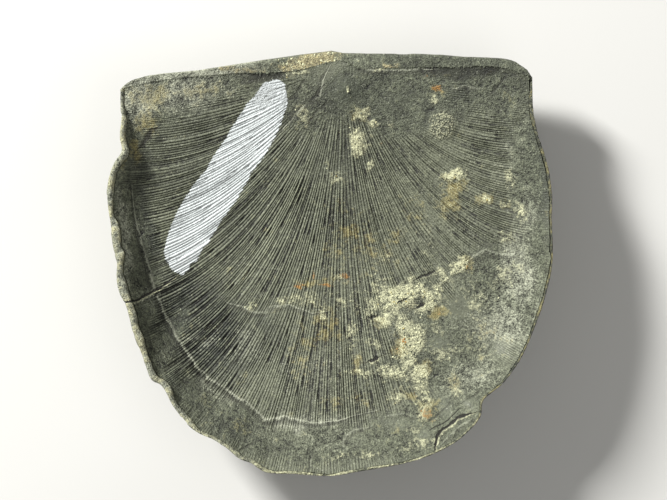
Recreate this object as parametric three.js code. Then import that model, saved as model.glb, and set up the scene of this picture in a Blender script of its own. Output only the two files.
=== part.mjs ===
// Fossil brachiopod: two shells closed on each other, lying on the rounded one with the dished one up.
// Sizes are in millimetres. +X runs right along the hinge, +Y towards the hinge, +Z up from the flat spot.
import * as THREE from 'three';

// Driving sizes
const RIB_PITCHES = 104; // ribs counted along the margin, coarser than the real ones
const RIB_HALF_HEIGHT = 0.14;
const SHELL_THICKNESS = 0.9; // of the dished valve
const EDGE_THICKNESS = 0.4; // of the same valve where it ends at its margin
const THINNING = [0.5, 2.5]; // distances inside the outline between which it thins
const SEAM = 0.4; // clearance between the two valves, measured upright
const SIDE_SEAM = 0.3; // the same, measured in plan
const RIM_BAND = 1.4; // upright band round the edge of the rounded valve
const BAND_INSET = 0.1;
const LIP_DROP = 0.05; // the inner edge of the rim lies this much lower than the outer one
const VALVE_DROP = 0.15; // and the dished valve's margin this much
const BACK_FROM = 17.4; // past this y the rim is the low band behind the hinge
const FLAT_SPOT = 0.34; // radius of the resting spot as a share of the outline's radius
const RIBS_FULL = 0.6; // share of the radius at which the ribs under the shell stand out fully
const GENTLE_SWELL = { share: 0.3, power: 2 };
const STEEP_SWELL = { share: 0.7, power: 8 };
const DISC_LOW = 4; // lowest level of the dished surface
const DISC_RISE = 1.5; // how much it rises towards the bend, on the ellipse given next
const DISC_HALF = new THREE.Vector2(19, 17);
const UMBO_SWELLING = { x: 1.5, y: 17.7, radius: 2.3, height: 0.5 };
const BEND_RIDGE = { height: 0.25, halfWidth: 0.55 };
const TRAIL_POWER = 1.15; // above 1 the trail steepens towards the rim
const WORN_SPOT = { x: 9, y: -6, inner: 6.6, outer: 12, ribs: 0.25 }; // where the ribs are rubbed down
const CENTRE = new THREE.Vector2(0, 1);
const FAN_NARROW = 0.42; // the ribs leave the beak in a narrower fan than they end in
const FAN_POWER = 2;
const PATH_PULL = 0.35; // length of the ends' tangents as a share of the chord
const EAR_FROM = 0.86; // beyond this side the ribs are drawn towards the straight back edge
const SMOOTH_SPAN = 0.07; // share of the margin over which its direction is averaged for the ribs
const EDGE_SPAN = 0.012; // the same, for moving the margin inwards
const MARGIN_SAMPLES = 420;
const BACK_SAMPLES = 160;
const CURVE_DIVISIONS = 800;

// Outline of the margin, from the left ear round the front to the right ear
const MARGIN = [
  [-21.1, 17.4], [-21.1, 16], [-20.95, 14.4], [-21.1, 12.7], [-20.9, 11.2], [-21.6, 10.1], [-22.2, 8.3],
  [-22.4, 6.6], [-22.1, 4.2], [-21.8, 1.4], [-21.35, 0], [-21.4, -1.4], [-21.1, -3], [-20.4, -4.4],
  [-19.9, -6.3], [-19.3, -8.2], [-18.5, -10.2], [-17.8, -11.8], [-16.8, -12.4], [-15.6, -14.5],
  [-13.6, -16.8], [-11.6, -17.8], [-10.2, -18.7], [-9, -19.7], [-7.9, -20.1], [-6.4, -21], [-3.6, -21.2],
  [0, -21.4], [3, -20.95], [7.7, -20.1], [10.4, -19.2], [12.8, -17.9], [15.1, -15.5], [15.4, -13.9],
  [17.4, -12.1], [19.2, -9.6], [20.7, -6.2], [21.6, -3.6], [22.3, -0.6], [22.4, 1.8], [22.3, 4.2],
  [22.35, 6.7], [21.9, 10], [21, 12.8], [20.5, 15.6], [20.45, 18.6],
];
// Back edge of the rounded valve and hinge edge of the dished valve, each from its beak outwards
const BACK_LEFT = [[0.2, 21.4], [-3.7, 20.9], [-8.6, 20.15], [-13.6, 19.35], [-17.5, 18.95], [-20.1, 18.35]];
const BACK_RIGHT = [[0.2, 21.4], [2.7, 21.15], [10.3, 21], [13.5, 20.75], [18.2, 20.4], [19.7, 19.6]];
const HINGE_LEFT = [[1.3, 20.4], [-0.8, 19.95], [-3.4, 19.3], [-10, 19], [-15, 18.55], [-19, 17.9]];
const HINGE_RIGHT = [[1.3, 20.4], [2.8, 19.65], [6, 19.6], [12, 19.65], [16.5, 19.7], [18.7, 19.2]];

// Values that change round the outline: direction in degrees from the centre, then the value
const EDGE_HEIGHT = [[0, 8.6], [41, 7.2], [60, 6.5], [90, 5.4], [120, 6.4], [141, 7.1], [160, 8.2],
  [200, 8.9], [235, 9.3], [290, 9.3], [330, 9.1], [360, 8.6]];
const TRAIL_WIDTH = [[0, 3.8], [30, 3.2], [42, 1.8], [90, 1], [141, 1.6], [160, 2.3], [180, 2.9], [200, 3.6],
  [225, 4.2], [250, 4.9], [300, 5.2], [330, 4.4], [360, 3.8]];
const TRAIL_SHARE = [[0, 1], [28, 1], [42, 0], [137, 0], [150, 1], [360, 1]];
const VALVE_INSET = [[0, 0.5], [90, 0.6], [150, 0.8], [200, 0.9], [270, 0.65], [360, 0.5]];

// Rows of a surface from beak to margin: how far along, and what share of the margin's strips it has
const RIBBED_ROWS = [
  [0.12, 1 / 16], [0.26, 1 / 8], [0.42, 1 / 4], [0.53, 1 / 2], [0.62, 1 / 2], [0.7, 1 / 2], [0.78, 1],
  [0.86, 1], [0.92, 1], [0.965, 1], [1, 1],
];
const FIRST_RIBBED = 1 / 8; // rows with a smaller share stay smooth
const PLAIN_ROWS = [
  [0.15, 1 / 26], [0.32, 1 / 13], [0.5, 1 / 8], [0.66, 1 / 4], [0.78, 1 / 2], [0.86, 1 / 2],
  [0.93, 1 / 2], [1, 1 / 2],
];

const smooth = THREE.MathUtils.smoothstep;

function valueAt(table, degrees) {
  const next = table.findIndex(([at]) => at >= degrees && at > 0);
  const [from, low] = table[next - 1];
  const [to, high] = table[next];
  return low + (high - low) * smooth(degrees, from, to);
}

function curveThrough(points) {
  const curve = new THREE.CatmullRomCurve3(points.map(([x, y]) => new THREE.Vector3(x, y, 0)));
  curve.arcLengthDivisions = CURVE_DIVISIONS;
  return curve;
}

const marginCurve = curveThrough(MARGIN);

// Outward direction of the margin at a share of its length, averaged over a span either side
function outwardsAt(along, span) {
  const before = marginCurve.getPointAt(Math.max(along - span, 0));
  const after = marginCurve.getPointAt(Math.min(along + span, 1));
  const run = after.sub(before).normalize();
  return new THREE.Vector2(run.y, -run.x);
}

// A point of the margin at side -1 (left ear) to 1 (right ear), moved inwards in plan
function marginPoint(side, inset) {
  const along = (side + 1) / 2;
  const { x, y } = marginCurve.getPointAt(along);
  const at = new THREE.Vector2(x, y).addScaledVector(outwardsAt(along, EDGE_SPAN), -inset);
  return { at, outwards: outwardsAt(along, SMOOTH_SPAN) };
}

// Radius of the outline in each direction from the centre
const outlineRadii = (() => {
  const backs = [...BACK_RIGHT].reverse().concat(BACK_LEFT.slice(1));
  const back = curveThrough(backs).getSpacedPoints(BACK_SAMPLES);
  const loop = marginCurve.getSpacedPoints(MARGIN_SAMPLES).concat(back);
  return loop.map((p) => polarOf(p.x, p.y)).sort((a, b) => a.degrees - b.degrees);
})();

function polarOf(x, y) {
  const degrees = THREE.MathUtils.radToDeg(Math.atan2(y - CENTRE.y, x - CENTRE.x));
  return { degrees: (degrees + 360) % 360, radius: Math.hypot(x - CENTRE.x, y - CENTRE.y) };
}

function placeIn(x, y) {
  const { degrees, radius } = polarOf(x, y);
  const next = outlineRadii.findIndex((entry) => entry.degrees >= degrees);
  const high = outlineRadii[Math.max(next, 0)];
  const low = outlineRadii[next > 0 ? next - 1 : outlineRadii.length - 1];
  const gap = high.degrees - low.degrees;
  const between = gap > 0 ? (degrees - low.degrees) / gap : 1;
  const edge = low.radius + (high.radius - low.radius) * between;
  return { degrees, share: radius / edge, fromEdge: edge - radius };
}

// Upper surface of the dished valve: a shallow disc, then a bend and a trail rising to the rim
function dishedHeight(x, y) {
  const { degrees, fromEdge } = placeIn(x, y);
  const offCentre = ((x - CENTRE.x) / DISC_HALF.x) ** 2 + ((y - CENTRE.y) / DISC_HALF.y) ** 2;
  const umbo = UMBO_SWELLING;
  const fromUmbo = Math.hypot(x - umbo.x, y - umbo.y) / umbo.radius;
  const disc = DISC_LOW + DISC_RISE * offCentre + umbo.height * Math.exp(-(fromUmbo ** 2));
  const width = valueAt(TRAIL_WIDTH, degrees);
  const trail = valueAt(TRAIL_SHARE, degrees);
  const climb = THREE.MathUtils.clamp((width - fromEdge) / width, 0, 1) ** TRAIL_POWER;
  const ridge = BEND_RIDGE.height * Math.exp(-(((fromEdge - width) / BEND_RIDGE.halfWidth) ** 2));
  const rim = valueAt(EDGE_HEIGHT, degrees) - VALVE_DROP;
  return disc + trail * (Math.max(rim - disc, 0) * climb + ridge);
}

function dishedUnderside(x, y) {
  const { fromEdge } = placeIn(x, y);
  const thickness = EDGE_THICKNESS + (SHELL_THICKNESS - EDGE_THICKNESS) * smooth(fromEdge, ...THINNING);
  return dishedHeight(x, y) - thickness;
}

// Lower surface of the rounded valve: steep under the rim, then gently rounded to the flat spot
function roundedHeight(x, y) {
  const { degrees, share } = placeIn(x, y);
  const lift = (part, { share: most, power }) => most * part ** power;
  const swell = (part) => lift(part, GENTLE_SWELL) + lift(part, STEEP_SWELL);
  const top = valueAt(EDGE_HEIGHT, degrees) - RIM_BAND;
  return top * Math.max(swell(Math.min(share, 1)) - swell(FLAT_SPOT), 0);
}

// How clearly the ribs stand out at a place on the dished valve
function ribStrength(x, y) {
  const away = Math.hypot(x - WORN_SPOT.x, y - WORN_SPOT.y);
  return WORN_SPOT.ribs + (1 - WORN_SPOT.ribs) * smooth(away, WORN_SPOT.inner, WORN_SPOT.outer);
}

// Lays out one valve in plan: where its ribs run from the beak to the margin
class ValvePlan {
  constructor(left, right, insetAt, backShift = 0) {
    this.insetAt = insetAt;
    this.beak = new THREE.Vector2(left[0][0], left[0][1] + backShift);
    this.left = this.backEdge(left, -1, backShift);
    this.right = this.backEdge(right, 1, backShift);
  }

  backEdge(points, side, backShift) {
    const moved = points.map(([x, y]) => [x, y + backShift]);
    const end = this.end(side).at;
    return curveThrough([...moved, [end.x, end.y]]);
  }

  end(side) {
    const { at } = marginPoint(side, 0);
    return marginPoint(side, this.insetAt(polarOf(at.x, at.y).degrees));
  }

  // The rib's own curve, fanning out of the beak and meeting the margin square on
  rib(side, along) {
    const { at, outwards } = this.end(side);
    const chord = at.clone().sub(this.beak);
    const lean = chord.angle() - 1.5 * Math.PI;
    const wide = Math.abs(lean / (Math.PI / 2)) ** FAN_POWER;
    const start = lean * (FAN_NARROW + (1 - FAN_NARROW) * Math.min(wide, 1));
    const pull = PATH_PULL * chord.length();
    const leaving = new THREE.Vector2(Math.sin(start), -Math.cos(start));
    const leave = this.beak.clone().addScaledVector(leaving, pull);
    const arrive = at.clone().addScaledVector(outwards, -pull);
    return new THREE.CubicBezierCurve(this.beak, leave, arrive, at).getPoint(along);
  }

  at(side, along) {
    const plain = this.rib(side, along);
    const edgeSide = Math.sign(side) || 1;
    const pull = smooth(Math.abs(side), EAR_FROM, 1);
    if (pull === 0) return plain;
    const edge = (edgeSide < 0 ? this.left : this.right).getPointAt(along);
    const miss = new THREE.Vector2(edge.x, edge.y).sub(this.rib(edgeSide, along));
    return plain.addScaledVector(miss, pull);
  }
}

// Collects points and triangles of one closed surface
class Shell {
  constructor() {
    this.points = [];
    this.triangles = [];
  }

  add(x, y, z) {
    return this.points.push(new THREE.Vector3(x, y, z)) - 1;
  }

  // Joins two chains of [place, point], always taking the nearer next step
  join(inner, outer, upwards) {
    let i = 0;
    let j = 0;
    while (i < inner.length - 1 || j < outer.length - 1) {
      const innerNext = i < inner.length - 1 ? inner[i + 1][0] : Infinity;
      const outerNext = j < outer.length - 1 ? outer[j + 1][0] : Infinity;
      const takeOuter = outerNext <= innerNext;
      const third = takeOuter ? outer[j + 1][1] : inner[i + 1][1];
      const corners = [inner[i][1], outer[j][1], third];
      this.triangles.push(upwards ? corners : corners.reverse());
      if (takeOuter) j += 1;
      else i += 1;
    }
  }

  // A fan-shaped surface; heightAt takes the plan place and +1 on a rib's crest or -1 in a groove
  surface(plan, rows, heightAt, upwards) {
    const beak = [[0, this.add(plan.beak.x, plan.beak.y, heightAt(plan.beak.x, plan.beak.y, 0))]];
    const chains = [beak];
    for (const [along, fraction] of rows) {
      const strips = Math.round(2 * RIB_PITCHES * fraction);
      const chain = [];
      for (let k = 0; k <= strips; k += 1) {
        const side = -1 + (2 * k) / strips;
        const { x, y } = plan.at(side, along);
        const onEdge = k === 0 || k === strips;
        const plain = onEdge || fraction < FIRST_RIBBED;
        const wave = k % 2 === 0 ? -1 : 1;
        chain.push([side, this.add(x, y, heightAt(x, y, plain ? 0 : wave))]);
      }
      this.join(chains[chains.length - 1], chain, upwards);
      chains.push(chain);
    }
    return this.boundary(chains, rows);
  }

  // The surface's closed edge: margin from 0 to 1, then right ear to beak to left ear from 1 to 2
  boundary(chains, rows) {
    const margin = chains[chains.length - 1].map(([side, point]) => [(side + 1) / 2, point]);
    const inner = rows.slice(0, -1).map(([along], k) => ({ along, chain: chains[k + 1] }));
    const right = inner.map(({ along, chain }) => [1.5 - along / 2, chain[chain.length - 1][1]]).reverse();
    const left = inner.map(({ along, chain }) => [1.5 + along / 2, chain[0][1]]);
    return [...margin, ...right, [1.5, chains[0][0][1]], ...left, [2, margin[0][1]]];
  }

  // A further closed edge at the same places, on another plan and height
  ring(like, plan, heightAt) {
    const ring = like.slice(0, -1).map(([place]) => {
      const side = place <= 1 ? 2 * place - 1 : Math.sign(1.5 - place) || 1;
      const along = place <= 1 ? 1 : Math.abs(place - 1.5) * 2;
      const { x, y } = plan.at(side, along);
      return [place, this.add(x, y, heightAt(x, y))];
    });
    return [...ring, [2, ring[0][1]]];
  }

  mesh(name, material) {
    const geometry = new THREE.BufferGeometry().setFromPoints(this.points);
    geometry.setIndex(this.triangles.flat());
    geometry.computeVertexNormals();
    const mesh = new THREE.Mesh(geometry, material);
    mesh.name = name;
    return mesh;
  }
}

const insetBy = (less) => (degrees) => valueAt(VALVE_INSET, degrees) - less;
const valvePlan = new ValvePlan(HINGE_LEFT, HINGE_RIGHT, insetBy(0));
const recessPlan = new ValvePlan(HINGE_LEFT, HINGE_RIGHT, insetBy(SIDE_SEAM), SIDE_SEAM);
const outlinePlan = new ValvePlan(BACK_LEFT, BACK_RIGHT, () => 0);
const wallPlan = new ValvePlan(BACK_LEFT, BACK_RIGHT, () => BAND_INSET, -BAND_INSET);

// The dished upper valve, a thin ribbed plate
function brachialValve() {
  const shell = new Shell();
  const ribbed = (x, y, wave) => dishedHeight(x, y) + wave * RIB_HALF_HEIGHT * ribStrength(x, y);
  const top = shell.surface(valvePlan, RIBBED_ROWS, ribbed, true);
  const under = shell.surface(valvePlan, PLAIN_ROWS, dishedUnderside, false);
  shell.join(top, under, true);
  return shell.mesh('brachial_valve', stone(0x8f8c7e, 0.82));
}

// The rounded lower valve, filled with rock, with the recess that holds the upper one
function pedicleValve() {
  const shell = new Shell();
  const recessFloor = (x, y) => dishedUnderside(x, y) - SEAM;
  const edgeTop = (x, y) => valueAt(EDGE_HEIGHT, polarOf(x, y).degrees);
  const lipTop = (x, y) => (y > BACK_FROM ? dishedHeight(x, y) : edgeTop(x, y) - LIP_DROP);
  const ribbed = (x, y, wave) => roundedHeight(x, y) + rise(x, y) * (1 + wave) * RIB_HALF_HEIGHT;
  const floor = shell.surface(recessPlan, PLAIN_ROWS, recessFloor, true);
  const under = shell.surface(wallPlan, RIBBED_ROWS, ribbed, false);
  const lip = shell.ring(under, recessPlan, lipTop);
  const edge = shell.ring(under, outlinePlan, edgeTop);
  shell.join(floor, lip, true);
  shell.join(lip, edge, true);
  shell.join(edge, under, true);
  return shell.mesh('pedicle_valve', stone(0x86826f, 0.85));
}

// Keeps the resting spot flat: no ribs there, full ribs on the sides
function rise(x, y) {
  return smooth(placeIn(x, y).share, FLAT_SPOT, RIBS_FULL);
}

function stone(color, roughness) {
  return new THREE.MeshStandardMaterial({ color, roughness, metalness: 0 });
}

const brachiopod = new THREE.Group();
brachiopod.add(pedicleValve(), brachialValve());

export default brachiopod;
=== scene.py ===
"""Fossil brachiopod: two ribbed shell valves closed on each other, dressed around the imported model."""

import math

import bmesh
import bpy
import numpy as np
from bpy.props import FloatProperty, FloatVectorProperty, IntProperty, PointerProperty
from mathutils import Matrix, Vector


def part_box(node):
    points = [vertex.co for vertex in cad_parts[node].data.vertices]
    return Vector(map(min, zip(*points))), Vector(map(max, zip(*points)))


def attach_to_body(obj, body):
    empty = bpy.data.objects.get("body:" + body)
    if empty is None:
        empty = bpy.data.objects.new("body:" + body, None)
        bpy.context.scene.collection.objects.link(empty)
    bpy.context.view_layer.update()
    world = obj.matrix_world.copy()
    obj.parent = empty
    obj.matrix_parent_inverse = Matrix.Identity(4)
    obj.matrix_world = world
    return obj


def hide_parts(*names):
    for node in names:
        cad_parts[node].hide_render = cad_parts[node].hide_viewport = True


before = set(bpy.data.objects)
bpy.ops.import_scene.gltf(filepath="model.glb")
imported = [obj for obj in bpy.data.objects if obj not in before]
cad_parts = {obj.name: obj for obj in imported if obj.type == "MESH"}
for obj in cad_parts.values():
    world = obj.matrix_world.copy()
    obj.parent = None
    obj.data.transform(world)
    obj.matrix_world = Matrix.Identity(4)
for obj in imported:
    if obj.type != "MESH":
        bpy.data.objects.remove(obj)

bl_info = {
    "name": "Fossil brachiopod",
    "version": (1, 0, 0),
    "blender": (4, 5, 0),
    "location": "View3D > Sidebar > Fossil",
    "description": "Models the two valves of a fossil brachiopod and the stage under them",
    "category": "Object",
}

MM = 0.001
PEDICLE_LOW, PEDICLE_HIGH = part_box("pedicle_valve")
OUTLINE_WIDTH_MM = 44.8  # width of the outline as listed below
FIT = (PEDICLE_HIGH.x - PEDICLE_LOW.x) / MM / OUTLINE_WIDTH_MM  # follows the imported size
HIGHEST_MM = PEDICLE_HIGH.z / MM / FIT
DISHED_HIGHEST_MM = HIGHEST_MM - 0.02  # the dished valve stays under the rim's top

# The photograph: how its pixels lie on the shell
PHOTO_SIZE = (667, 500)
PHOTO_MM = 0.1  # one pixel at the level of the rim
PHOTO_ORIGIN = (329.5, 262.5)  # the pixel over the origin

# Outline in millimetres, from the left ear round the front to the right ear
MARGIN = [
    (-21.1, 17.4), (-21.1, 16), (-20.95, 14.4), (-21.1, 12.7), (-20.9, 11.2), (-21.6, 10.1), (-22.2, 8.3),
    (-22.4, 6.6), (-22.1, 4.2), (-21.8, 1.4), (-21.35, 0), (-21.4, -1.4), (-21.1, -3), (-20.4, -4.4),
    (-19.9, -6.3), (-19.3, -8.2), (-18.5, -10.2), (-17.8, -11.8), (-16.8, -12.4), (-15.6, -14.5),
    (-13.6, -16.8), (-11.6, -17.8), (-10.2, -18.7), (-9, -19.7), (-7.9, -20.1), (-6.4, -21), (-3.6, -21.2),
    (0, -21.4), (3, -20.95), (7.7, -20.1), (10.4, -19.2), (12.8, -17.9), (15.1, -15.5), (15.4, -13.9),
    (17.4, -12.1), (19.2, -9.6), (20.7, -6.2), (21.6, -3.6), (22.3, -0.6), (22.4, 1.8), (22.3, 4.2),
    (22.35, 6.7), (21.9, 10), (21, 12.8), (20.5, 15.6), (20.45, 18.6),
]
BACK_LEFT = [(0.2, 21.4), (-3.7, 20.9), (-8.6, 20.15), (-13.6, 19.35), (-17.5, 18.95), (-20.1, 18.35)]
BACK_RIGHT = [(0.2, 21.4), (2.7, 21.15), (10.3, 21), (13.5, 20.75), (18.2, 20.4), (19.7, 19.6)]
HINGE_LEFT = [(1.3, 20.4), (-0.8, 19.95), (-3.4, 19.3), (-10, 19), (-15, 18.55), (-19, 17.9)]
HINGE_RIGHT = [(1.3, 20.4), (2.8, 19.65), (6, 19.6), (12, 19.65), (16.5, 19.7), (18.7, 19.2)]

# Values that change round the outline: direction in degrees from the centre, then the value in millimetres
EDGE_HEIGHT = [
    (0, 8.6), (41, 7.2), (60, 6.5), (90, 5.4), (120, 6.4), (141, 7.1), (160, 8.2), (200, 8.9), (235, 9.3),
    (290, 9.3), (330, 9.1), (360, 8.6),
]
TRAIL_WIDTH = [
    (0, 3.8), (30, 3.2), (42, 1.8), (90, 1), (141, 1.6), (160, 2.3), (180, 2.9), (200, 3.6), (225, 4.2),
    (250, 4.9), (300, 5.2), (330, 4.4), (360, 3.8),
]
TRAIL_SHARE = [(0, 1), (28, 1), (42, 0), (137, 0), (150, 1), (360, 1)]
VALVE_INSET = [
    (0, 0.34), (40, 0.4), (90, 0.5), (130, 0.45), (150, 0.75), (200, 0.9), (225, 0.6), (270, 0.3),
    (300, 0.28), (330, 0.3), (360, 0.34),
]
VALVE_GAP = [
    (0, 0.09), (30, 0.06), (48, 0.01), (140, 0.01), (155, 0.05), (200, 0.07), (240, 0.03), (270, 0.012),
    (310, 0.012), (335, 0.07), (360, 0.09),
]

# Form of the dished valve, in millimetres
CENTRE = (0.0, 1.0)  # middle of the disc, from which directions are counted
DISC_LOW, DISC_RISE, DISC_HALF = 4.0, 1.5, (19.0, 17.0)  # its middle, the rise to its border, half sizes
UMBO_PLACE, UMBO_RADIUS, UMBO_HEIGHT = (1.5, 17.7), 2.3, 0.5  # the swelling in front of the beak
BEND_HEIGHT, BEND_HALF_WIDTH = 0.16, 0.5  # the low ridge between disc and trail
TRAIL_POWER = 1.15  # above 1 the trail grows steeper towards the margin
VALVE_DROP = 0.15  # how far the valve's edge lies below the rim round it
SHELL_THICKNESS, EDGE_THICKNESS, THINNING = 0.9, 0.4, (0.5, 2.5)  # it thins over these distances
EDGE_RINGS = ((0.003, 0.04), (0.005, 0.16), (0.0, 0.34))  # outset and drop of the rounded edge
UNDERSIDE_SHARES = (0.985, 0.94, 0.86, 0.7, 0.45, 0.2)  # rings of the hidden side, closing in
WORN_AWAY = 0.94  # share of the ribs' strength that full wear takes

# Form of the rounded valve, in millimetres
HIDDEN_GAP = 0.4  # between its seat and the hidden side of the dished valve
BAND_INSET = 0.1  # the ribbed underside ends this far inside the outline
RIM_BAND = 1.4  # height of the upright band between the underside and the rim
FLAT_SPOT = 0.34  # share of the radius that lies flat on the floor
GENTLE_SWELL, STEEP_SWELL = (0.3, 2), (0.7, 8)  # share of the height, and its power over the radius
GROWTH_SWING = 46  # radians of the growth lines' wave from the middle to the margin
CHIP_DEPTHS = (0.16, 0.06)  # of the large and of the small chips
BAND_RINGS = ((0.06, 0.9), (0.0, 0.45), (0.06, 0.14))  # inset and drop of the upright band
CROWN_SHARES = (0.16, 0.33, 0.5, 0.67, 0.84, 0.98)  # rings from the rim's outside to its inside
SEAT_DROPS = (0.25, 0.7)  # rings of the wall inside the rim
FLOOR_SHARES = (0.97, 0.9, 0.78, 0.55, 0.25)  # rings of the seat, closing in

# How the ribs lie
FAN_NARROW, FAN_POWER = 0.42, 2.0  # they leave the beak in a fan that is narrower in its middle
PATH_PULL = 0.35  # share of a rib's length over which it keeps its direction at either end
EAR_FROM = 0.86  # ribs nearer the sides than this bend to follow the back edge
SMOOTH_SPAN, EDGE_SPAN = 0.07, 0.012  # shares of the margin over which its direction is measured
ROW_POWER = 0.8  # below 1 it sets the rows closer together towards the margin
DISHED_SEED, ROUNDED_SEED, GRAIN_SEED = 5, 9, 3

LINE_REACH = 1.5  # distance in millimetres at which a line of the surface no longer shows
FAR_OFFSET = 10.0  # offset, in half widths, of a place that no line comes near
SHARP_DEGREES = 60  # a steeper turn between two faces shows as an edge
GRAIN_LEAST, GRAIN_MORE = 0.025, 0.075  # smallest radius, and how much more the largest has
LIGHTS = (  # name, place and width in metres, watts
    ("key light", (-0.3, 0.27, 0.24), 0.1, 5.0),
    ("fill light", (0.28, -0.2, 0.4), 0.5, 0.8),
)
WORLD_STRENGTH = 0.23


def plan(pixel_x, pixel_y):
    """Place on the shell, in millimetres, of a pixel of the photograph."""
    return ((pixel_x - PHOTO_ORIGIN[0]) * PHOTO_MM, (PHOTO_ORIGIN[1] - pixel_y) * PHOTO_MM)


def smooth(value, low, high):
    """0 below low, 1 above high and a soft step between."""
    share = np.clip((np.asarray(value, float) - low) / (high - low), 0, 1)
    return share * share * (3 - 2 * share)


def value_at(table, degrees):
    """A value of a round-the-outline table, with soft steps between its entries."""
    places = np.array([entry[0] for entry in table], float)
    values = np.array([entry[1] for entry in table], float)
    degrees = np.asarray(degrees, float)
    after = np.clip(np.searchsorted(places, degrees), 1, len(places) - 1)
    step = smooth((degrees - places[after - 1]) / (places[after] - places[after - 1]), 0, 1)
    return values[after - 1] + (values[after] - values[after - 1]) * step


class Line:
    """A smooth curve through points of the plan, measured along its length."""

    def __init__(self, points, steps=30):
        p = np.array(points, float)
        p = np.vstack([2 * p[0] - p[1], p, 2 * p[-1] - p[-2]])
        pieces = [self.piece(*p[k - 1:k + 3], steps) for k in range(1, len(p) - 2)]
        self.points = np.vstack([*pieces, p[-2:-1]])
        lengths = np.hypot(*np.diff(self.points, axis=0).T)
        self.shares = np.concatenate([[0], np.cumsum(lengths)])
        self.length = self.shares[-1]
        self.shares /= self.length

    @staticmethod
    def piece(p0, p1, p2, p3, steps):
        """One stretch of a centripetal Catmull-Rom curve."""
        d0, d1, d2 = (math.hypot(*(b - a)) ** 0.5 for a, b in ((p0, p1), (p1, p2), (p2, p3)))
        leave = ((p1 - p0) / d0 - (p2 - p0) / (d0 + d1) + (p2 - p1) / d1) * d1
        arrive = ((p2 - p1) / d1 - (p3 - p1) / (d1 + d2) + (p3 - p2) / d2) * d1
        t = np.linspace(0, 1, steps, endpoint=False)[:, None]
        square = -3 * p1 + 3 * p2 - 2 * leave - arrive
        cube = 2 * p1 - 2 * p2 + leave + arrive
        return p1 + leave * t + square * t**2 + cube * t**3

    def at(self, share):
        """Points at shares of the length, as an array of x and y."""
        x = np.interp(share, self.shares, self.points[:, 0])
        y = np.interp(share, self.shares, self.points[:, 1])
        return np.stack([x, y], axis=-1)


MARGIN_LINE = Line(MARGIN)
BACK_LINE = Line(BACK_RIGHT[::-1] + BACK_LEFT[1:])


def polar(x, y):
    """Direction in degrees from the centre, and distance from it."""
    degrees = np.degrees(np.arctan2(y - CENTRE[1], x - CENTRE[0])) % 360
    return degrees, np.hypot(x - CENTRE[0], y - CENTRE[1])


def outline_table():
    """Radius of the outline in each direction, sorted by direction."""
    loop = np.vstack([MARGIN_LINE.at(np.linspace(0, 1, 420)), BACK_LINE.at(np.linspace(0, 1, 160))])
    degrees, radius = polar(loop[:, 0], loop[:, 1])
    order = np.argsort(degrees)
    return degrees[order], radius[order]


OUTLINE_DEGREES, OUTLINE_RADIUS = outline_table()


def place_in(x, y):
    """Direction, share of the outline's radius, and distance inside the outline."""
    degrees, radius = polar(x, y)
    edge = np.interp(degrees, OUTLINE_DEGREES, OUTLINE_RADIUS, period=360)
    return degrees, radius / edge, edge - radius


def towards_centre(x, y, share):
    return CENTRE[0] + (x - CENTRE[0]) * share, CENTRE[1] + (y - CENTRE[1]) * share


class Relief:
    """Smooth random heights between 0 and 1, repeatable from a seed."""

    CELLS = 256

    def __init__(self, seed):
        self.values = np.random.default_rng(seed).random((self.CELLS, self.CELLS))

    def at(self, x, y, size):
        u, v = np.asarray(x) / size, np.asarray(y) / size
        i, j = np.floor(u).astype(int), np.floor(v).astype(int)
        a, b = smooth(u - i, 0, 1), smooth(v - j, 0, 1)
        n = self.CELLS
        low = self.values[i % n, j % n] * (1 - a) + self.values[(i + 1) % n, j % n] * a
        high = self.values[i % n, (j + 1) % n] * (1 - a) + self.values[(i + 1) % n, (j + 1) % n] * a
        return low * (1 - b) + high * b

    def layers(self, x, y, size, count=3):
        """Several sizes added up, each half as large and strong as the one before; about -1 to 1."""
        total = sum((self.at(x + 7 * k, y - 5 * k, size / 2**k) - 0.5) / 2**k for k in range(count))
        return total * 1.2


COARSE, MIDDLE, FINE = Relief(11), Relief(23), Relief(37)


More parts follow.
